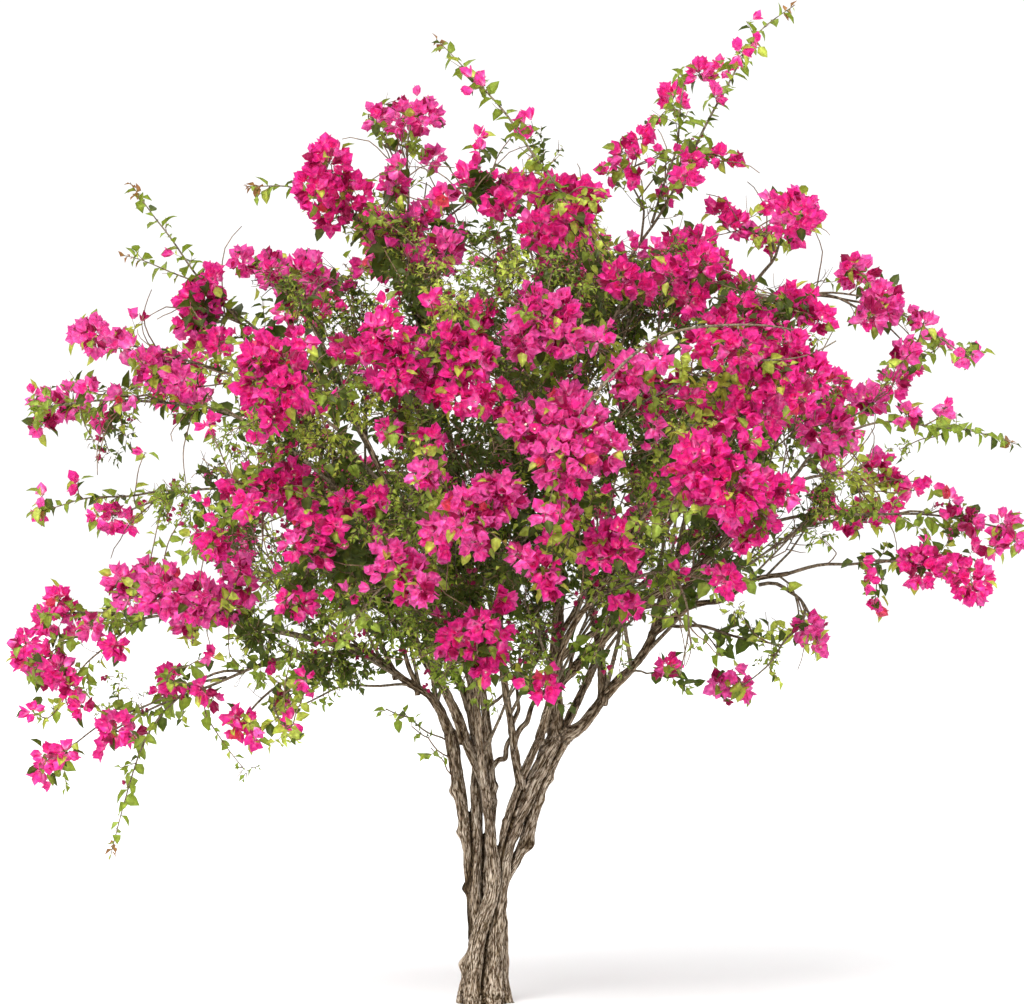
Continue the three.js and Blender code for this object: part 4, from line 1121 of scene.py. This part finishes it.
def fill_boughs():
    """Lesser branches all along the boughs, and leafy shoots on their outer stretches."""
    for index, (name, *_) in enumerate(BOUGHS):
        limb = limbs[name].limb
        looks = dict(size=LEAF.inner, shade=index % GREENS, blossom=INNER.blossom)
        clothe(limb, INNER.start, 1, INNER.pitch, INNER.shoots, forks=INNER.forks, rise=INNER.rise, **looks)
        for i in range(BRANCH.count):
            share = BRANCH_FEET.start + BRANCH_FEET.over * (i + rng.random()) / BRANCH.count
            place, way = limb.at(share)[0], limb.tangent(share)[0]
            opened = besides(way, rng.uniform(*BRANCH_FEET.opening), i * GOLDEN_ANGLE)
            heading = unit(opened + BRANCH_FEET.lift * UP)
            radius = max(BRANCH.least, BRANCH.share * float(limb.radius_at(share)))
            grow_branch(place, heading, rng.uniform(*BRANCH.length), radius, (index + i) % GREENS, 1)


def grow_lesser():
    """The lesser branches that show. The thicker ones join the limbs, for their bark."""
    for index, (carrier, at, bend, tip, radii, leafy) in enumerate(LESSER):
        entry = limbs[carrier]
        start = entry.limb.point_at(at)[0] if entry.is_strand else entry.limb.at(at)[0]
        limb = bent_limb(start, vec(*bend), vec(*tip), tapered(*radii), 8, index)
        if radii[0] >= BRANCH.barked:
            limbs[f"lesser_{index}"] = SimpleNamespace(limb=limb, is_strand=False)
        else:
            put_tube(limb, max(6, int(limb.length / 20)), 7)
        if leafy:
            clothe(limb, 0.45, 1, 26, 110, LEAF.length, index % GREENS)
        elif radii[1] < 3:
            clothe(limb, 0.55, 1, 18, 36, LEAF.length, MID, forks=0, thinned=False)


def fill_masses(sprays):
    """Leafy masses, each on a fine twig from the nearest spray."""
    for x, z, radius, side, shade in LEAFY:
        middle = seen_at(x, z, side)
        found = [nearest_twig(spray, middle) for spray in sprays]
        span, start, way = min(found, key=lambda one: one[0])
        reach_out(span, start, way, middle, shade)
        dress_mass(middle, radius, shade)


def grow_arches(sprays):
    """Two long bare canes that arch over the front of the crown, the second from the first."""
    spray = next(one for one in sprays if one.name == "front")
    start = spray.heads[0].middle
    arch = bent_limb(start, vec(426, -1270, 2064), vec(867, -900, 1986), tapered(5, 2.5), 6, 2)
    fork = arch.at(0.75)[0]
    second = bent_limb(fork, vec(750, -960, 1821), vec(993, -820, 1958), tapered(3.5, 2), 4, 1)
    for limb in (arch, second):
        put_tube(limb, 40, 6)


# Meshes

MM = 0.001
MOST_TRIANGLES = 190000  # of one piece


def tube_frames(points):
    """The directions along and across a line of points, with no twist where it keeps in a plane."""
    along = unit(np.gradient(points, axis=0))
    least = np.argmin(np.abs(along.mean(axis=0)))
    side = unit(np.cross(along, np.eye(3)[least]))
    return along, side, np.cross(along, side)


def tube_mesh(points, radii, sides, level=False):
    """A closed tube along a line of points, as vertices and triangles. Level rings suit an upright one."""
    _, side, other = tube_frames(points)
    if level:
        side, other = (np.broadcast_to(axis, points.shape) for axis in (vec(1, 0, 0), vec(0, 1, 0)))
    turns = np.arange(sides) * FULL_TURN / sides
    ring = np.cos(turns)[None, :, None] * side[:, None] + np.sin(turns)[None, :, None] * other[:, None]
    vertices = (points[:, None] + ring * np.asarray(radii)[:, None, None]).reshape(-1, 3)
    rows = np.arange(len(points) - 1)[:, None] * sides
    here = np.arange(sides)[None]
    there = (here + 1) % sides
    a, b, c, d = rows + here, rows + there, rows + sides + there, rows + sides + here
    walls = np.stack([np.stack([a, b, c], axis=2), np.stack([a, c, d], axis=2)]).reshape(-1, 3)
    middle = np.arange(1, sides - 1)
    zero = np.zeros(sides - 2, int)
    foot = np.stack([zero, middle + 1, middle], axis=1)
    top = np.stack([zero, middle, middle + 1], axis=1) + (len(points) - 1) * sides
    return vertices, np.concatenate([walls, foot, top])


def joined(parts):
    """Several lists of vertices and triangles as one."""
    vertices = np.concatenate([v for v, _ in parts])
    offsets = np.cumsum([0] + [len(v) for v, _ in parts[:-1]])
    return vertices, np.concatenate([t + offset for (_, t), offset in zip(parts, offsets)])


def blade(profile, cup, bend):
    """A pointed blade one unit long, as vertices along x, across y and up z, and its triangles. The profile
    is the half width at each share of the length, the cup lifts its edges and the bend lowers its tip."""
    vertices = [(0, 0, 0)]
    for x, half in profile:
        drop = -bend * x * x
        vertices += [(x, -half, drop + cup * half), (x, 0, drop), (x, half, drop + cup * half)]
    vertices.append((1, 0, -bend))
    triangles = [(0, 1, 2), (0, 2, 3)]
    for i in range(len(profile) - 1):
        a = 1 + 3 * i
        triangles += [(a, a + 3, a + 4), (a, a + 4, a + 1), (a + 1, a + 4, a + 5), (a + 1, a + 5, a + 2)]
    a = 1 + 3 * (len(profile) - 1)
    triangles += [(a, a + 3, a + 1), (a + 1, a + 3, a + 2)]
    return np.array(vertices, float), np.array(triangles)


BRACT_BLADE = blade([(0.24, 0.44), (0.62, 0.46)], cup=0.5, bend=-0.25)
LEAF_BLADE = blade([(0.28, 0.5), (0.66, 0.4)], cup=0.35, bend=0.25)
SMALL_BLADE = blade([(0.42, 0.5)], cup=0.35, bend=0.2)


def scattered(template, places, along, normal, lengths, widths=None):
    """A copy of the template at each place: x along, z towards the normal and sizes by the length."""
    shape, faces = template
    along = unit(along)
    across = unit(np.cross(normal, along))
    up = np.cross(along, across)
    widths = lengths if widths is None else widths
    vertices = (
        places[:, None]
        + shape[None, :, :1] * along[:, None] * lengths[:, None, None]
        + shape[None, :, 1:2] * across[:, None] * widths[:, None, None]
        + shape[None, :, 2:] * up[:, None] * lengths[:, None, None]
    )
    offsets = np.arange(len(places))[:, None, None] * len(shape)
    return vertices.reshape(-1, 3), (faces[None] + offsets).reshape(-1, 3)


def new_object(name, vertices, triangles, smooth=True, painted_light_tones=None):
    """An object of these vertices, given in millimetres, and triangles."""
    mesh = bpy.data.meshes.new(name)
    mesh.vertices.add(len(vertices))
    mesh.vertices.foreach_set("co", (vertices * MM).astype(np.float32).ravel())
    mesh.loops.add(triangles.size)
    mesh.loops.foreach_set("vertex_index", triangles.astype(np.int32).ravel())
    mesh.polygons.add(len(triangles))
    mesh.polygons.foreach_set("loop_start", np.arange(0, triangles.size, 3, dtype=np.int32))
    mesh.polygons.foreach_set("use_smooth", np.full(len(triangles), smooth))
    mesh.update(calc_edges=True)
    if painted_light_tones is not None:
        mesh.attributes.new("painted_light_tone", "FLOAT", "POINT").data.foreach_set("value", painted_light_tones)
    return linked(bpy.data.objects.new(name, mesh))


def linked(piece):
    bpy.context.scene.collection.objects.link(piece)
    return piece


def place_piece(piece, material, nodes):
    """Gives a piece its material and its body, and hides the solids that it replaces."""
    piece.data.materials.clear()
    piece.data.materials.append(material)
    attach(piece, "root")
    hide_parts(*nodes)


def add_foliage(name, parts, material, template=None):
    """One kind of foliage, joined into as few pieces as the most triangles of a piece allow. Copies of a
    blade keep for each vertex how far it is along the middle, and 1 at the rim, which the colour turns into
    painted shade at the throat and rim and a painted highlight along the middle."""
    vertices, triangles = joined(parts)
    pieces = math.ceil(len(triangles) / MOST_TRIANGLES)
    for i, share in enumerate(np.array_split(np.arange(len(triangles)), pieces)):
        used, faces = np.unique(triangles[share], return_inverse=True)
        title = name if pieces == 1 else f"{name}_{i + 1}"
        painted_light_tones = None
        if template is not None:
            x, y, _ = template[0].T
            # How far along the middle each vertex is, and 1 at the rim: where the painted shade and highlight
            # fall
            painted_light_tones = np.resize(np.where(y == 0, x, 1), len(vertices))[used]
        piece = new_object(title, vertices[used], faces.reshape(-1, 3), template is None, painted_light_tones)
        place_piece(piece, material, SPRAY_NODES)


# Bark

BOUGH_TUBE = SimpleNamespace(
    step=7,  # between its rings
    sides=18,
    swell=0.3,  # of its radius at its foot, which falls off over the next value
    swell_run=60,
    runs_back=((24, 0.75), (12, 0.92)),  # how far, and the share of its radius there
)
STRAND_TUBE = SimpleNamespace(
    rings=190,
    sides=48,
    top=((0.4, 0.95), (0.8, 0.8), (1.15, 0.5)),  # how far past its end and how thick, as shares of its radius
)
FURROW = SimpleNamespace(
    across=7.5,
    along=105,
    sharp=5,
    depth=3.4,
    shallow=0.2,  # the most of a thin limb's radius
    narrowest=8,  # a thinner limb has the furrows of one this thick
    fine=SimpleNamespace(across=2.2, along=1.9, depth=0.7),  # the cracks, as shares of the wide ones
    bend=SimpleNamespace(along=1.3, across=0.5),
    lump=52,
    lump_depth=0.2,
    apart=31.7,  # between the noises of two limbs
)
# A crevice between two strands is pushed in, and painted dark as shade through the colour
CREVICE = SimpleNamespace(reach=7, depth=5, samples=120)  # between two strands
NEAR_RINGS = 6
KNOT_HEIGHT = 0.7  # of a knot's size
# The knots on the stems: x, y and z of their middles, and their sizes
KNOTS = [
    (-72, -10, 115, 24), (-68, 0, 345, 16), (-74, -2, 515, 17), (-98, 0, 636, 18), (28, 0, 648, 15),
    (68, -8, 240, 20), (136, 0, 474, 20), (112, 0, 405, 14), (178, 0, 606, 16), (200, 0, 672, 14),
    (30, -50, 150, 15), (-14, -62, 90, 15), (60, -30, 550, 11), (-40, -30, 560, 11),
]


def limb_tube(entry):
    """A limb as a smooth, dense tube. A bough swells at its foot, where it also runs back into its carrier,
    and a strand is rounded off at its top."""
    limb = entry.limb
    if entry.is_strand:
        fractions = np.linspace(0, 1, STRAND_TUBE.rings)
        points, radii = limb.point_at(fractions), limb.radius_at(fractions)
        lifts, shares = np.array(STRAND_TUBE.top).T
        way = unit(points[-1] - points[-2])
        points = np.concatenate([points, points[-1] + lifts[:, None] * radii[-1] * way])
        return points, np.concatenate([radii, radii[-1] * shares]), STRAND_TUBE.sides
    along = np.linspace(0, 1, int(limb.length / BOUGH_TUBE.step) + 1)
    swell = 1 + BOUGH_TUBE.swell * np.exp(-along * limb.length / BOUGH_TUBE.swell_run)
    points, radii = limb.at(along), limb.radius_at(along) * swell
    runs, shares = np.array(BOUGH_TUBE.runs_back).T
    back = 0.3 * unit(points[1] - points[0]) + 0.7 * UP
    points = np.concatenate([points[0] - runs[:, None] * back, points])
    return points, np.concatenate([radii[0] * shares, radii]), BOUGH_TUBE.sides


def fuse(pieces):
    """One closed mesh of all the overlapping ones."""
    first, *rest = pieces
    cutters = bpy.data.collections.new("limbs")
    bpy.context.scene.collection.children.link(cutters)
    for piece in rest:
        bpy.context.scene.collection.objects.unlink(piece)
        cutters.objects.link(piece)
    union = first.modifiers.new("union", "BOOLEAN")
    union.operation = "UNION"
    union.operand_type = "COLLECTION"
    union.collection = cutters
    union.solver = "MANIFOLD"
    made = bpy.data.meshes.new_from_object(first.evaluated_get(bpy.context.evaluated_depsgraph_get()))
    for piece in pieces:
        bpy.data.objects.remove(piece)
    bpy.data.collections.remove(cutters)
    return made


def ridged(around, lengthwise, shift):
    """Nothing on a ridge to 1 in the furrow between two, by a noise that is drawn out lengthwise."""
    return 1 - min(1, abs(noise.noise(Vector((*around, lengthwise)) + shift)) * FURROW.sharp)


def furrows(around, lengthwise, shift):
    """How deep the bark's furrows are at a place. Wide ones part plates, which finer ones crack."""
    bend = noise.noise(Vector((0, 0, lengthwise * FURROW.bend.along)) + shift) * FURROW.bend.across
    around = (around[0] + bend, around[1] - bend)
    wide = ridged(around, lengthwise, shift)
    finer = (around[0] * FURROW.fine.across, around[1] * FURROW.fine.across)
    return max(wide, FURROW.fine.depth * ridged(finer, lengthwise * FURROW.fine.along, shift))


def crevices(places):
    """How near the second of the strands is to each place, from nothing to 1."""
    gaps = []
    for limb in [entry.limb for entry in limbs.values() if entry.is_strand]:
        fractions = np.linspace(0, 1, CREVICE.samples)
        points, radii = limb.point_at(fractions), limb.radius_at(fractions)
        x, y, r = (np.interp(places[:, 2], points[:, 2], row) for row in (points[:, 0], points[:, 1], radii))
        past = np.maximum(places[:, 2] - points[-1, 2], 0)
        gaps.append(np.hypot(np.hypot(places[:, 0] - x, places[:, 1] - y) - r, past))
    second = np.sort(np.abs(gaps), axis=0)[1]
    return np.clip(1 - second / CREVICE.reach, 0, 1)


def limb_rings():
    """Every ring of the limbs' tubes: its middle, its radius, how far along it is, its limb's index and its
    ways across, and a tree that finds the nearest middles."""
    rings = []
    for index, entry in enumerate(limbs.values()):
        points, radii, _ = limb_tube(entry)
        _, side, other = tube_frames(points)
        rings += zip(points, radii, reached_at(points), [index] * len(points), side, other)
    tree = kdtree.KDTree(len(rings))
    for i, (point, *_) in enumerate(rings):
        tree.insert(Vector(point), i)
    tree.balance()
    return rings, tree


def add_relief(piece):
    """Pushes the bark in along its furrows and out at its knots. It keeps the greater of the furrows' depth
    and the nearness of a crevice between strands for the colour, which is dark there: painted shade in the
    crevices, and in the furrows partly their own colour and partly painted shade. It also keeps each
    vertex's place round and along its limb for the grain."""
    rings, tree = limb_rings()
    mesh = piece.data
    count = len(mesh.vertices)
    depths, grains = np.zeros(count), np.zeros((count, 3))
    normals = [vertex.normal.copy() for vertex in mesh.vertices]
    knots = [(Vector(middle), size) for *middle, size in KNOTS]
    folds = crevices(np.array([vertex.co for vertex in mesh.vertices]) / MM)
    for i, (vertex, normal, fold) in enumerate(zip(mesh.vertices, normals, folds)):
        place = vertex.co / MM
        near = min(tree.find_n(place, NEAR_RINGS), key=lambda found: abs(found[2] - rings[found[1]][1]))
        point, radius, reached, index, side, other = rings[near[1]]
        away = np.array(place) - point
        spin = math.atan2(away @ other, away @ side)
        scale = max(radius, FURROW.narrowest) / FURROW.across
        around = (scale * math.cos(spin), scale * math.sin(spin))
        lengthwise = reached / FURROW.along
        shift = Vector((0, 0, FURROW.apart * index))
        depth = furrows(around, lengthwise, shift)
        # Near a crevice between strands the colour is darkened too, as painted shade
        depths[i] = max(depth, fold)
        grains[i] = (*around, lengthwise + FURROW.apart * index)
        push = radius * noise.noise(Vector(place) / FURROW.lump + shift) * FURROW.lump_depth
        push = push - min(radius * FURROW.shallow, FURROW.depth) * depth - CREVICE.depth * fold
        for knot, size in knots:
            push += size * KNOT_HEIGHT * math.exp(-(((place - knot).length / size) ** 2))
        if place.z > 1:
            vertex.co += normal * push * MM
            vertex.co.z = max(vertex.co.z, 0)
    mesh.attributes.new("furrow", "FLOAT", "POINT").data.foreach_set("value", depths)
    mesh.attributes.new("grain", "FLOAT_VECTOR", "POINT").data.foreach_set("vector", grains.ravel())


# Materials

# Each one's colour at its base and at its tip, and of the light that comes through. The paler base,
# along a blade's middle, is a painted highlight
LEAF_COLOURS = {
    # The dark shade is also painted shade: the leaves deep in the crown take it
    "dark": ((0.1, 0.125, 0.022), (0.065, 0.084, 0.014), (0.13, 0.21, 0.02)),
    "mid": ((0.31, 0.4, 0.075), (0.23, 0.3, 0.038), (0.4, 0.56, 0.05)),
    "light": ((0.57, 0.65, 0.14), (0.45, 0.52, 0.07), (0.6, 0.72, 0.09)),
    "bronze": ((0.3, 0.2, 0.07), (0.33, 0.15, 0.06), (0.45, 0.22, 0.05)),
}
BRACT_COLOURS = {
    "magenta": ((1, 0.38, 0.68), (1, 0.042, 0.38), (1, 0.05, 0.44)),
    "pink": ((1, 0.48, 0.76), (1, 0.12, 0.5), (1, 0.14, 0.55)),
    # The deep hue is painted shade inside the clusters, and also the buds' colour
    "deep": ((0.62, 0.05, 0.2), (0.4, 0.01, 0.1), (0.6, 0.015, 0.14)),
    "coral": ((0.9, 0.25, 0.2), (0.85, 0.07, 0.17), (1, 0.15, 0.2)),
}
# Shares of the tip's colour at a blade's throat and rim, both darker as painted shade
THROAT_SHADE = 0.3
RIM_SHADE = 0.62
# The bark's colours by how deep its furrows are, darkest in them and in the crevices between the strands:
# the fissures' own dark colour, and painted shade in the deep furrows and crevices. Then what its grain,
# cracks and patches multiply them by, and what they are multiplied by below and above the height in
# metres where the boughs begin
FURROW_AND_SHADE_COLOURS = [
    (0, (0.45, 0.39, 0.32)), (0.4, (0.36, 0.3, 0.235)), (0.7, (0.14, 0.1, 0.06)), (1, (0.03, 0.019, 0.008)),
]
GRAIN_TINTS = [(0.34, (0.48, 0.41, 0.33)), (0.47, (0.95, 0.92, 0.88)), (0.62, (1.5, 1.52, 1.55))]
CRACK_DARK = (0.26, 0.19, 0.12)
CRACK_PALE = (1.1, 1.1, 1.1)
CRACK_TINTS = [(0.44, CRACK_PALE), (0.485, CRACK_DARK), (0.505, CRACK_DARK), (0.55, CRACK_PALE)]
PATCH_TINTS = [(0.35, (0.84, 0.8, 0.76)), (0.7, (1.1, 1.09, 1.06))]
HEIGHT_TINTS = [(0.66, (1, 1, 1)), (0.95, (0.66, 0.61, 0.52))]


def new_material(name, roughness, gloss=0.3):
    material = bpy.data.materials.new(name)
    material.use_nodes = True
    tree = material.node_tree
    shader = tree.nodes["Principled BSDF"]
    shader.inputs["Roughness"].default_value = roughness
    shader.inputs["Specular IOR Level"].default_value = gloss
    return material, tree, shader


def object_place(tree):
    return tree.nodes.new("ShaderNodeTexCoord").outputs["Object"]


def attribute(tree, name):
    """What each vertex keeps under a name."""
    node = tree.nodes.new("ShaderNodeAttribute")
    node.attribute_name = name
    return node.outputs


def noise_node(tree, scale, detail=3.0, stretch=(1, 1, 1), place=None):
    """A noise in the object's own space or another, drawn out along the axes where the stretch is small."""
    spread = tree.nodes.new("ShaderNodeMapping")
    spread.inputs["Scale"].default_value = stretch
    texture = tree.nodes.new("ShaderNodeTexNoise")
    texture.inputs["Scale"].default_value = scale
    texture.inputs["Detail"].default_value = detail
    tree.links.new(place or object_place(tree), spread.inputs["Vector"])
    tree.links.new(spread.outputs["Vector"], texture.inputs["Vector"])
    return texture.outputs["Fac"]


def ramp(tree, value, stops):
    """The colours of these stops, by a value."""
    node = tree.nodes.new("ShaderNodeValToRGB")
    elements = node.color_ramp.elements
    while len(elements) < len(stops):
        elements.new(0.5)
    for element, (position, colour) in zip(elements, stops):
        element.position = position
        element.color = (*colour, 1)
    tree.links.new(value, node.inputs["Fac"])
    return node.outputs["Color"]


def mixed(tree, one, other, share, blend="MIX"):
    node = tree.nodes.new("ShaderNodeMix")
    node.data_type = "RGBA"
    node.blend_type = blend
    node.inputs["Factor"].default_value = share
    tree.links.new(one, node.inputs["A"])
    tree.links.new(other, node.inputs["B"])
    return node.outputs["Result"]


def multiplied(tree, colour, *tints):
    for tint in tints:
        colour = mixed(tree, colour, tint, 1, "MULTIPLY")
    return colour


def bumped(tree, shader, height, strength, distance):
    """Raises a surface a little where a value is high."""
    bump = tree.nodes.new("ShaderNodeBump")
    bump.inputs["Strength"].default_value = strength
    bump.inputs["Distance"].default_value = distance
    tree.links.new(height, bump.inputs["Height"])
    tree.links.new(bump.outputs["Normal"], shader.inputs["Normal"])


def bark_material():
    """Pale grey-brown bark with dark furrows, partly their own colour and partly painted shade, and painted
    shade in the crevices between strands, with a fine grain and cracks that run along each limb. It is darker
    from where the boughs begin."""
    material, tree, shader = new_material("bark", 0.92, 0.15)
    furrow_and_shade_colour = ramp(tree, attribute(tree, "furrow")["Fac"], FURROW_AND_SHADE_COLOURS)
    place = attribute(tree, "grain")["Vector"]
    grain = noise_node(tree, 3.0, 6, (1, 1, 1.3), place)
    cracks = ramp(tree, noise_node(tree, 1.25, 7, (1, 1, 2.2), place), CRACK_TINTS)
    patches = ramp(tree, noise_node(tree, 14), PATCH_TINTS)
    height = tree.nodes.new("ShaderNodeSeparateXYZ")
    tree.links.new(object_place(tree), height.inputs["Vector"])
    upper = ramp(tree, height.outputs["Z"], HEIGHT_TINTS)
    colour = multiplied(tree, furrow_and_shade_colour, ramp(tree, grain, GRAIN_TINTS), cracks, patches, upper)
    tree.links.new(colour, shader.inputs["Base Color"])
    bumped(tree, shader, mixed(tree, grain, cracks, 0.6), 1, 0.005)
    return material


def twig_material(name, low, high, scale=60):
    """A rough matt surface that runs between two colours."""
    material, tree, shader = new_material(name, 0.75)
    colour = ramp(tree, noise_node(tree, scale, 5), [(0.35, low), (0.68, high)])
    tree.links.new(colour, shader.inputs["Base Color"])
    bumped(tree, shader, noise_node(tree, 500, 2, (1, 1, 0.3)), 0.3, 0.001)
    return material


def thin_material(name, base, tip, through, roughness, share, gloss=0.3):
    """A leaf or bract: its colour runs from its throat, darker as painted shade, over its pale base, a painted
    highlight, to its tip and its darker rim, painted shade, and varies a little over it. Fine veins raise it,
    and light comes through."""
    material, tree, shader = new_material(name, roughness, gloss)
    # The throat and rim are darkened as painted shade, and the pale base is a painted highlight
    throat, rim = ([part * level for level in tip] for part in (THROAT_SHADE, RIM_SHADE))
    fade = ramp(tree, attribute(tree, "painted_light_tone")["Fac"], [(0.0, throat), (0.22, base), (0.66, tip), (1, rim)])
    vary = ramp(tree, noise_node(tree, 75, 4), [(0.34, (0.56, 0.52, 0.56)), (0.66, (1.35, 1.4, 1.35))])
    tree.links.new(multiplied(tree, fade, vary), shader.inputs["Base Color"])
    bumped(tree, shader, noise_node(tree, 330, 2), 0.35, 0.001)
    glow = tree.nodes.new("ShaderNodeBsdfTranslucent")
    glow.inputs["Color"].default_value = (*through, 1)
    blend = tree.nodes.new("ShaderNodeMixShader")
    blend.inputs["Fac"].default_value = share
    tree.links.new(shader.outputs["BSDF"], blend.inputs[1])
    tree.links.new(glow.outputs["BSDF"], blend.inputs[2])
    tree.links.new(blend.outputs["Shader"], tree.nodes["Material Output"].inputs["Surface"])
    return material


# Building it all

SPRAY_NODES = [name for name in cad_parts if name.endswith("_spray")]
LIMB_NODES = [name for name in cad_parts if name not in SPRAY_NODES]


def build_bark():
    """The limbs as one piece."""
    parts = []
    for name, entry in limbs.items():
        points, radii, sides = limb_tube(entry)
        vertices, triangles = tube_mesh(points, radii, sides, level=entry.is_strand)
        parts.append(new_object(name, vertices, triangles))
    mesh = fuse(parts)
    piece = linked(bpy.data.objects.new("bark", mesh))
    add_relief(piece)
    mesh.polygons.foreach_set("use_smooth", np.full(len(mesh.polygons), True))
    place_piece(piece, bark_material(), LIMB_NODES)


def build_twigs():
    """The fine twigs, and the thicker ones that have greyer bark."""
    thin = [tube_mesh(*tube) for tube in tubes if max(tube[1]) < BRANCH.brown]
    thick = [tube_mesh(*tube) for tube in tubes if max(tube[1]) >= BRANCH.brown]
    brown = twig_material("twig", (0.1, 0.055, 0.03), (0.32, 0.21, 0.13))
    grey = twig_material("branch", (0.055, 0.037, 0.02), (0.3, 0.235, 0.155), 130)
    add_foliage("twigs", thin, brown)
    add_foliage("branches", thick, grey)


def build_leaves():
    """The leaves of each shade, the small ones with fewer faces."""
    places, along, normals, sizes, shades = (np.concatenate(column) for column in zip(*leaves))
    widths = LEAF.width * sizes * np.sqrt(sizes / LEAF.length)
    kinds = ("leaves", LEAF_BLADE, sizes >= LEAF.small), ("small_leaves", SMALL_BLADE, sizes < LEAF.small)
    for index, shade in enumerate(SHADES):
        material = thin_material(f"leaf_{shade}", *LEAF_COLOURS[shade], 0.45, 0.28, gloss=0.25)
        for name, template, fitting in kinds:
            own = fitting & (shades == index)
            copies = scattered(template, places[own], along[own], normals[own], sizes[own], widths[own])
            add_foliage(f"{name}_{shade}", [copies], material, template)


def build_blossom():
    """The bracts of each hue, three to a set, and flowers in some of the sets."""
    places, axes, sizes, hues = (np.concatenate(column) for column in zip(*sets))
    turns = rng.uniform(0, FULL_TURN, len(places))
    for index, hue in enumerate(HUES):
        own = hues == index
        count = own.sum()
        copies = []
        for k in range(3):
            spreads = rng.normal(BRACT.opening, BRACT.vary, count)
            along = besides(axes[own], spreads, turns[own] + k * FULL_TURN / 3 + rng.normal(0, 0.2, count))
            lengths = BRACT.length * sizes[own] * rng.uniform(0.9, 1.1, count)
            starts = places[own] + along * BRACT.stalk
            copies.append(scattered(BRACT_BLADE, starts, along, axes[own], lengths, lengths * BRACT.width))
        material = thin_material(f"bract_{hue}", *BRACT_COLOURS[hue], 0.45, 0.3, gloss=0.45)
        add_foliage(f"bracts_{hue}", copies, material, BRACT_BLADE)
    build_flowers(places, axes, sizes)


def flower():
    """A flat star of lobes on a short cone, one unit in radius, as vertices and triangles."""
    count = 2 * FLOWER.lobes
    ring = np.arange(count)
    turns = ring * FULL_TURN / count
    rim = np.where(ring % 2, 0.5, 1.0)
    star = [(np.cos(t) * r, np.sin(t) * r, 0.25 * r) for t, r in zip(turns, rim)]
    vertices = np.array([(0, 0, 0), *star, (0, 0, -FLOWER.cone)])
    after = (ring + 1) % count
    disc = np.stack([np.zeros(count, int), ring + 1, after + 1], axis=1)
    notches = ring[1::2] + 1
    cone = np.stack([np.full(FLOWER.lobes, count + 1), np.roll(notches, -1), notches], axis=1)
    return vertices, np.concatenate([disc, cone])


def build_flowers(places, axes, sizes):
    """Small cream flowers in some of the sets."""
    own = (rng.random(len(places)) < FLOWER.share) & (sizes > FLOWER.least)
    along = besides(axes[own], math.pi / 2, rng.uniform(0, FULL_TURN, own.sum()))
    tops = places[own] + axes[own] * FLOWER.stalk
    copies = scattered(flower(), tops, along, axes[own], FLOWER.radius * sizes[own])
    add_foliage("flowers", [copies], twig_material("flower", (0.8, 0.7, 0.45), (0.9, 0.85, 0.6)))


# Stage: a pale floor, a white sky, a soft key light and the photo's level view

CAMERA = SimpleNamespace(sensor=36, frame_width=3072)  # how wide the view is at the trunk
FLOOR = SimpleNamespace(half=40, greys=(0.9, 0.93))  # in metres
SKY_STRENGTH = 1.1
KEY = SimpleNamespace(energy=3.0, angle=30, way=(-0.35, -0.85, 0.9))


def lay_floor():
    corners = vec(-1, -1, 0, 1, -1, 0, 1, 1, 0, -1, 1, 0).reshape(4, 3) * FLOOR.half / MM
    floor = new_object("floor", corners, np.array([(0, 1, 2), (0, 2, 3)]), smooth=False)
    material, tree, shader = new_material("floor", 0.95, 0.1)
    low, high = FLOOR.greys
    pale = ramp(tree, noise_node(tree, 0.6), [(0.3, (low, low, low)), (0.7, (high, high, high))])
    tree.links.new(pale, shader.inputs["Base Color"])
    floor.data.materials.append(material)


def light_stage():
    world = bpy.data.worlds.new("studio")
    world.use_nodes = True
    sky = world.node_tree.nodes["Background"]
    sky.inputs["Color"].default_value = (1, 1, 1, 1)
    sky.inputs["Strength"].default_value = SKY_STRENGTH
    bpy.context.scene.world = world
    key = linked(bpy.data.objects.new("key", bpy.data.lights.new("key", "SUN")))
    key.data.energy = KEY.energy
    key.data.angle = math.radians(KEY.angle)
    key.rotation_euler = Vector(KEY.way).to_track_quat("Z", "Y").to_euler()


def set_camera():
    data = bpy.data.cameras.new("camera")
    data.sensor_width = CAMERA.sensor
    data.lens = CAMERA.sensor * VIEW.distance / CAMERA.frame_width
    camera = linked(bpy.data.objects.new("camera", data))
    camera.location = (VIEW.x * MM, -VIEW.distance * MM, VIEW.z * MM)
    camera.rotation_euler = (math.pi / 2, 0, 0)
    bpy.context.scene.camera = camera
    bpy.context.scene.view_settings.view_transform = "Standard"


grow_limbs()
all_sprays = [lay_out_spray(row) for row in SPRAYS]
fit_heads(all_sprays)
for spray in all_sprays:
    grow_spray(spray, all_sprays)
for index, spray in enumerate(all_sprays):
    dress_spray(spray, index)
fill_boughs()
grow_lesser()
fill_masses([spray for spray in all_sprays if spray.side < 0.5])
grow_arches(all_sprays)
build_bark()
build_twigs()
build_leaves()
build_blossom()
lay_floor()
light_stage()
set_camera()
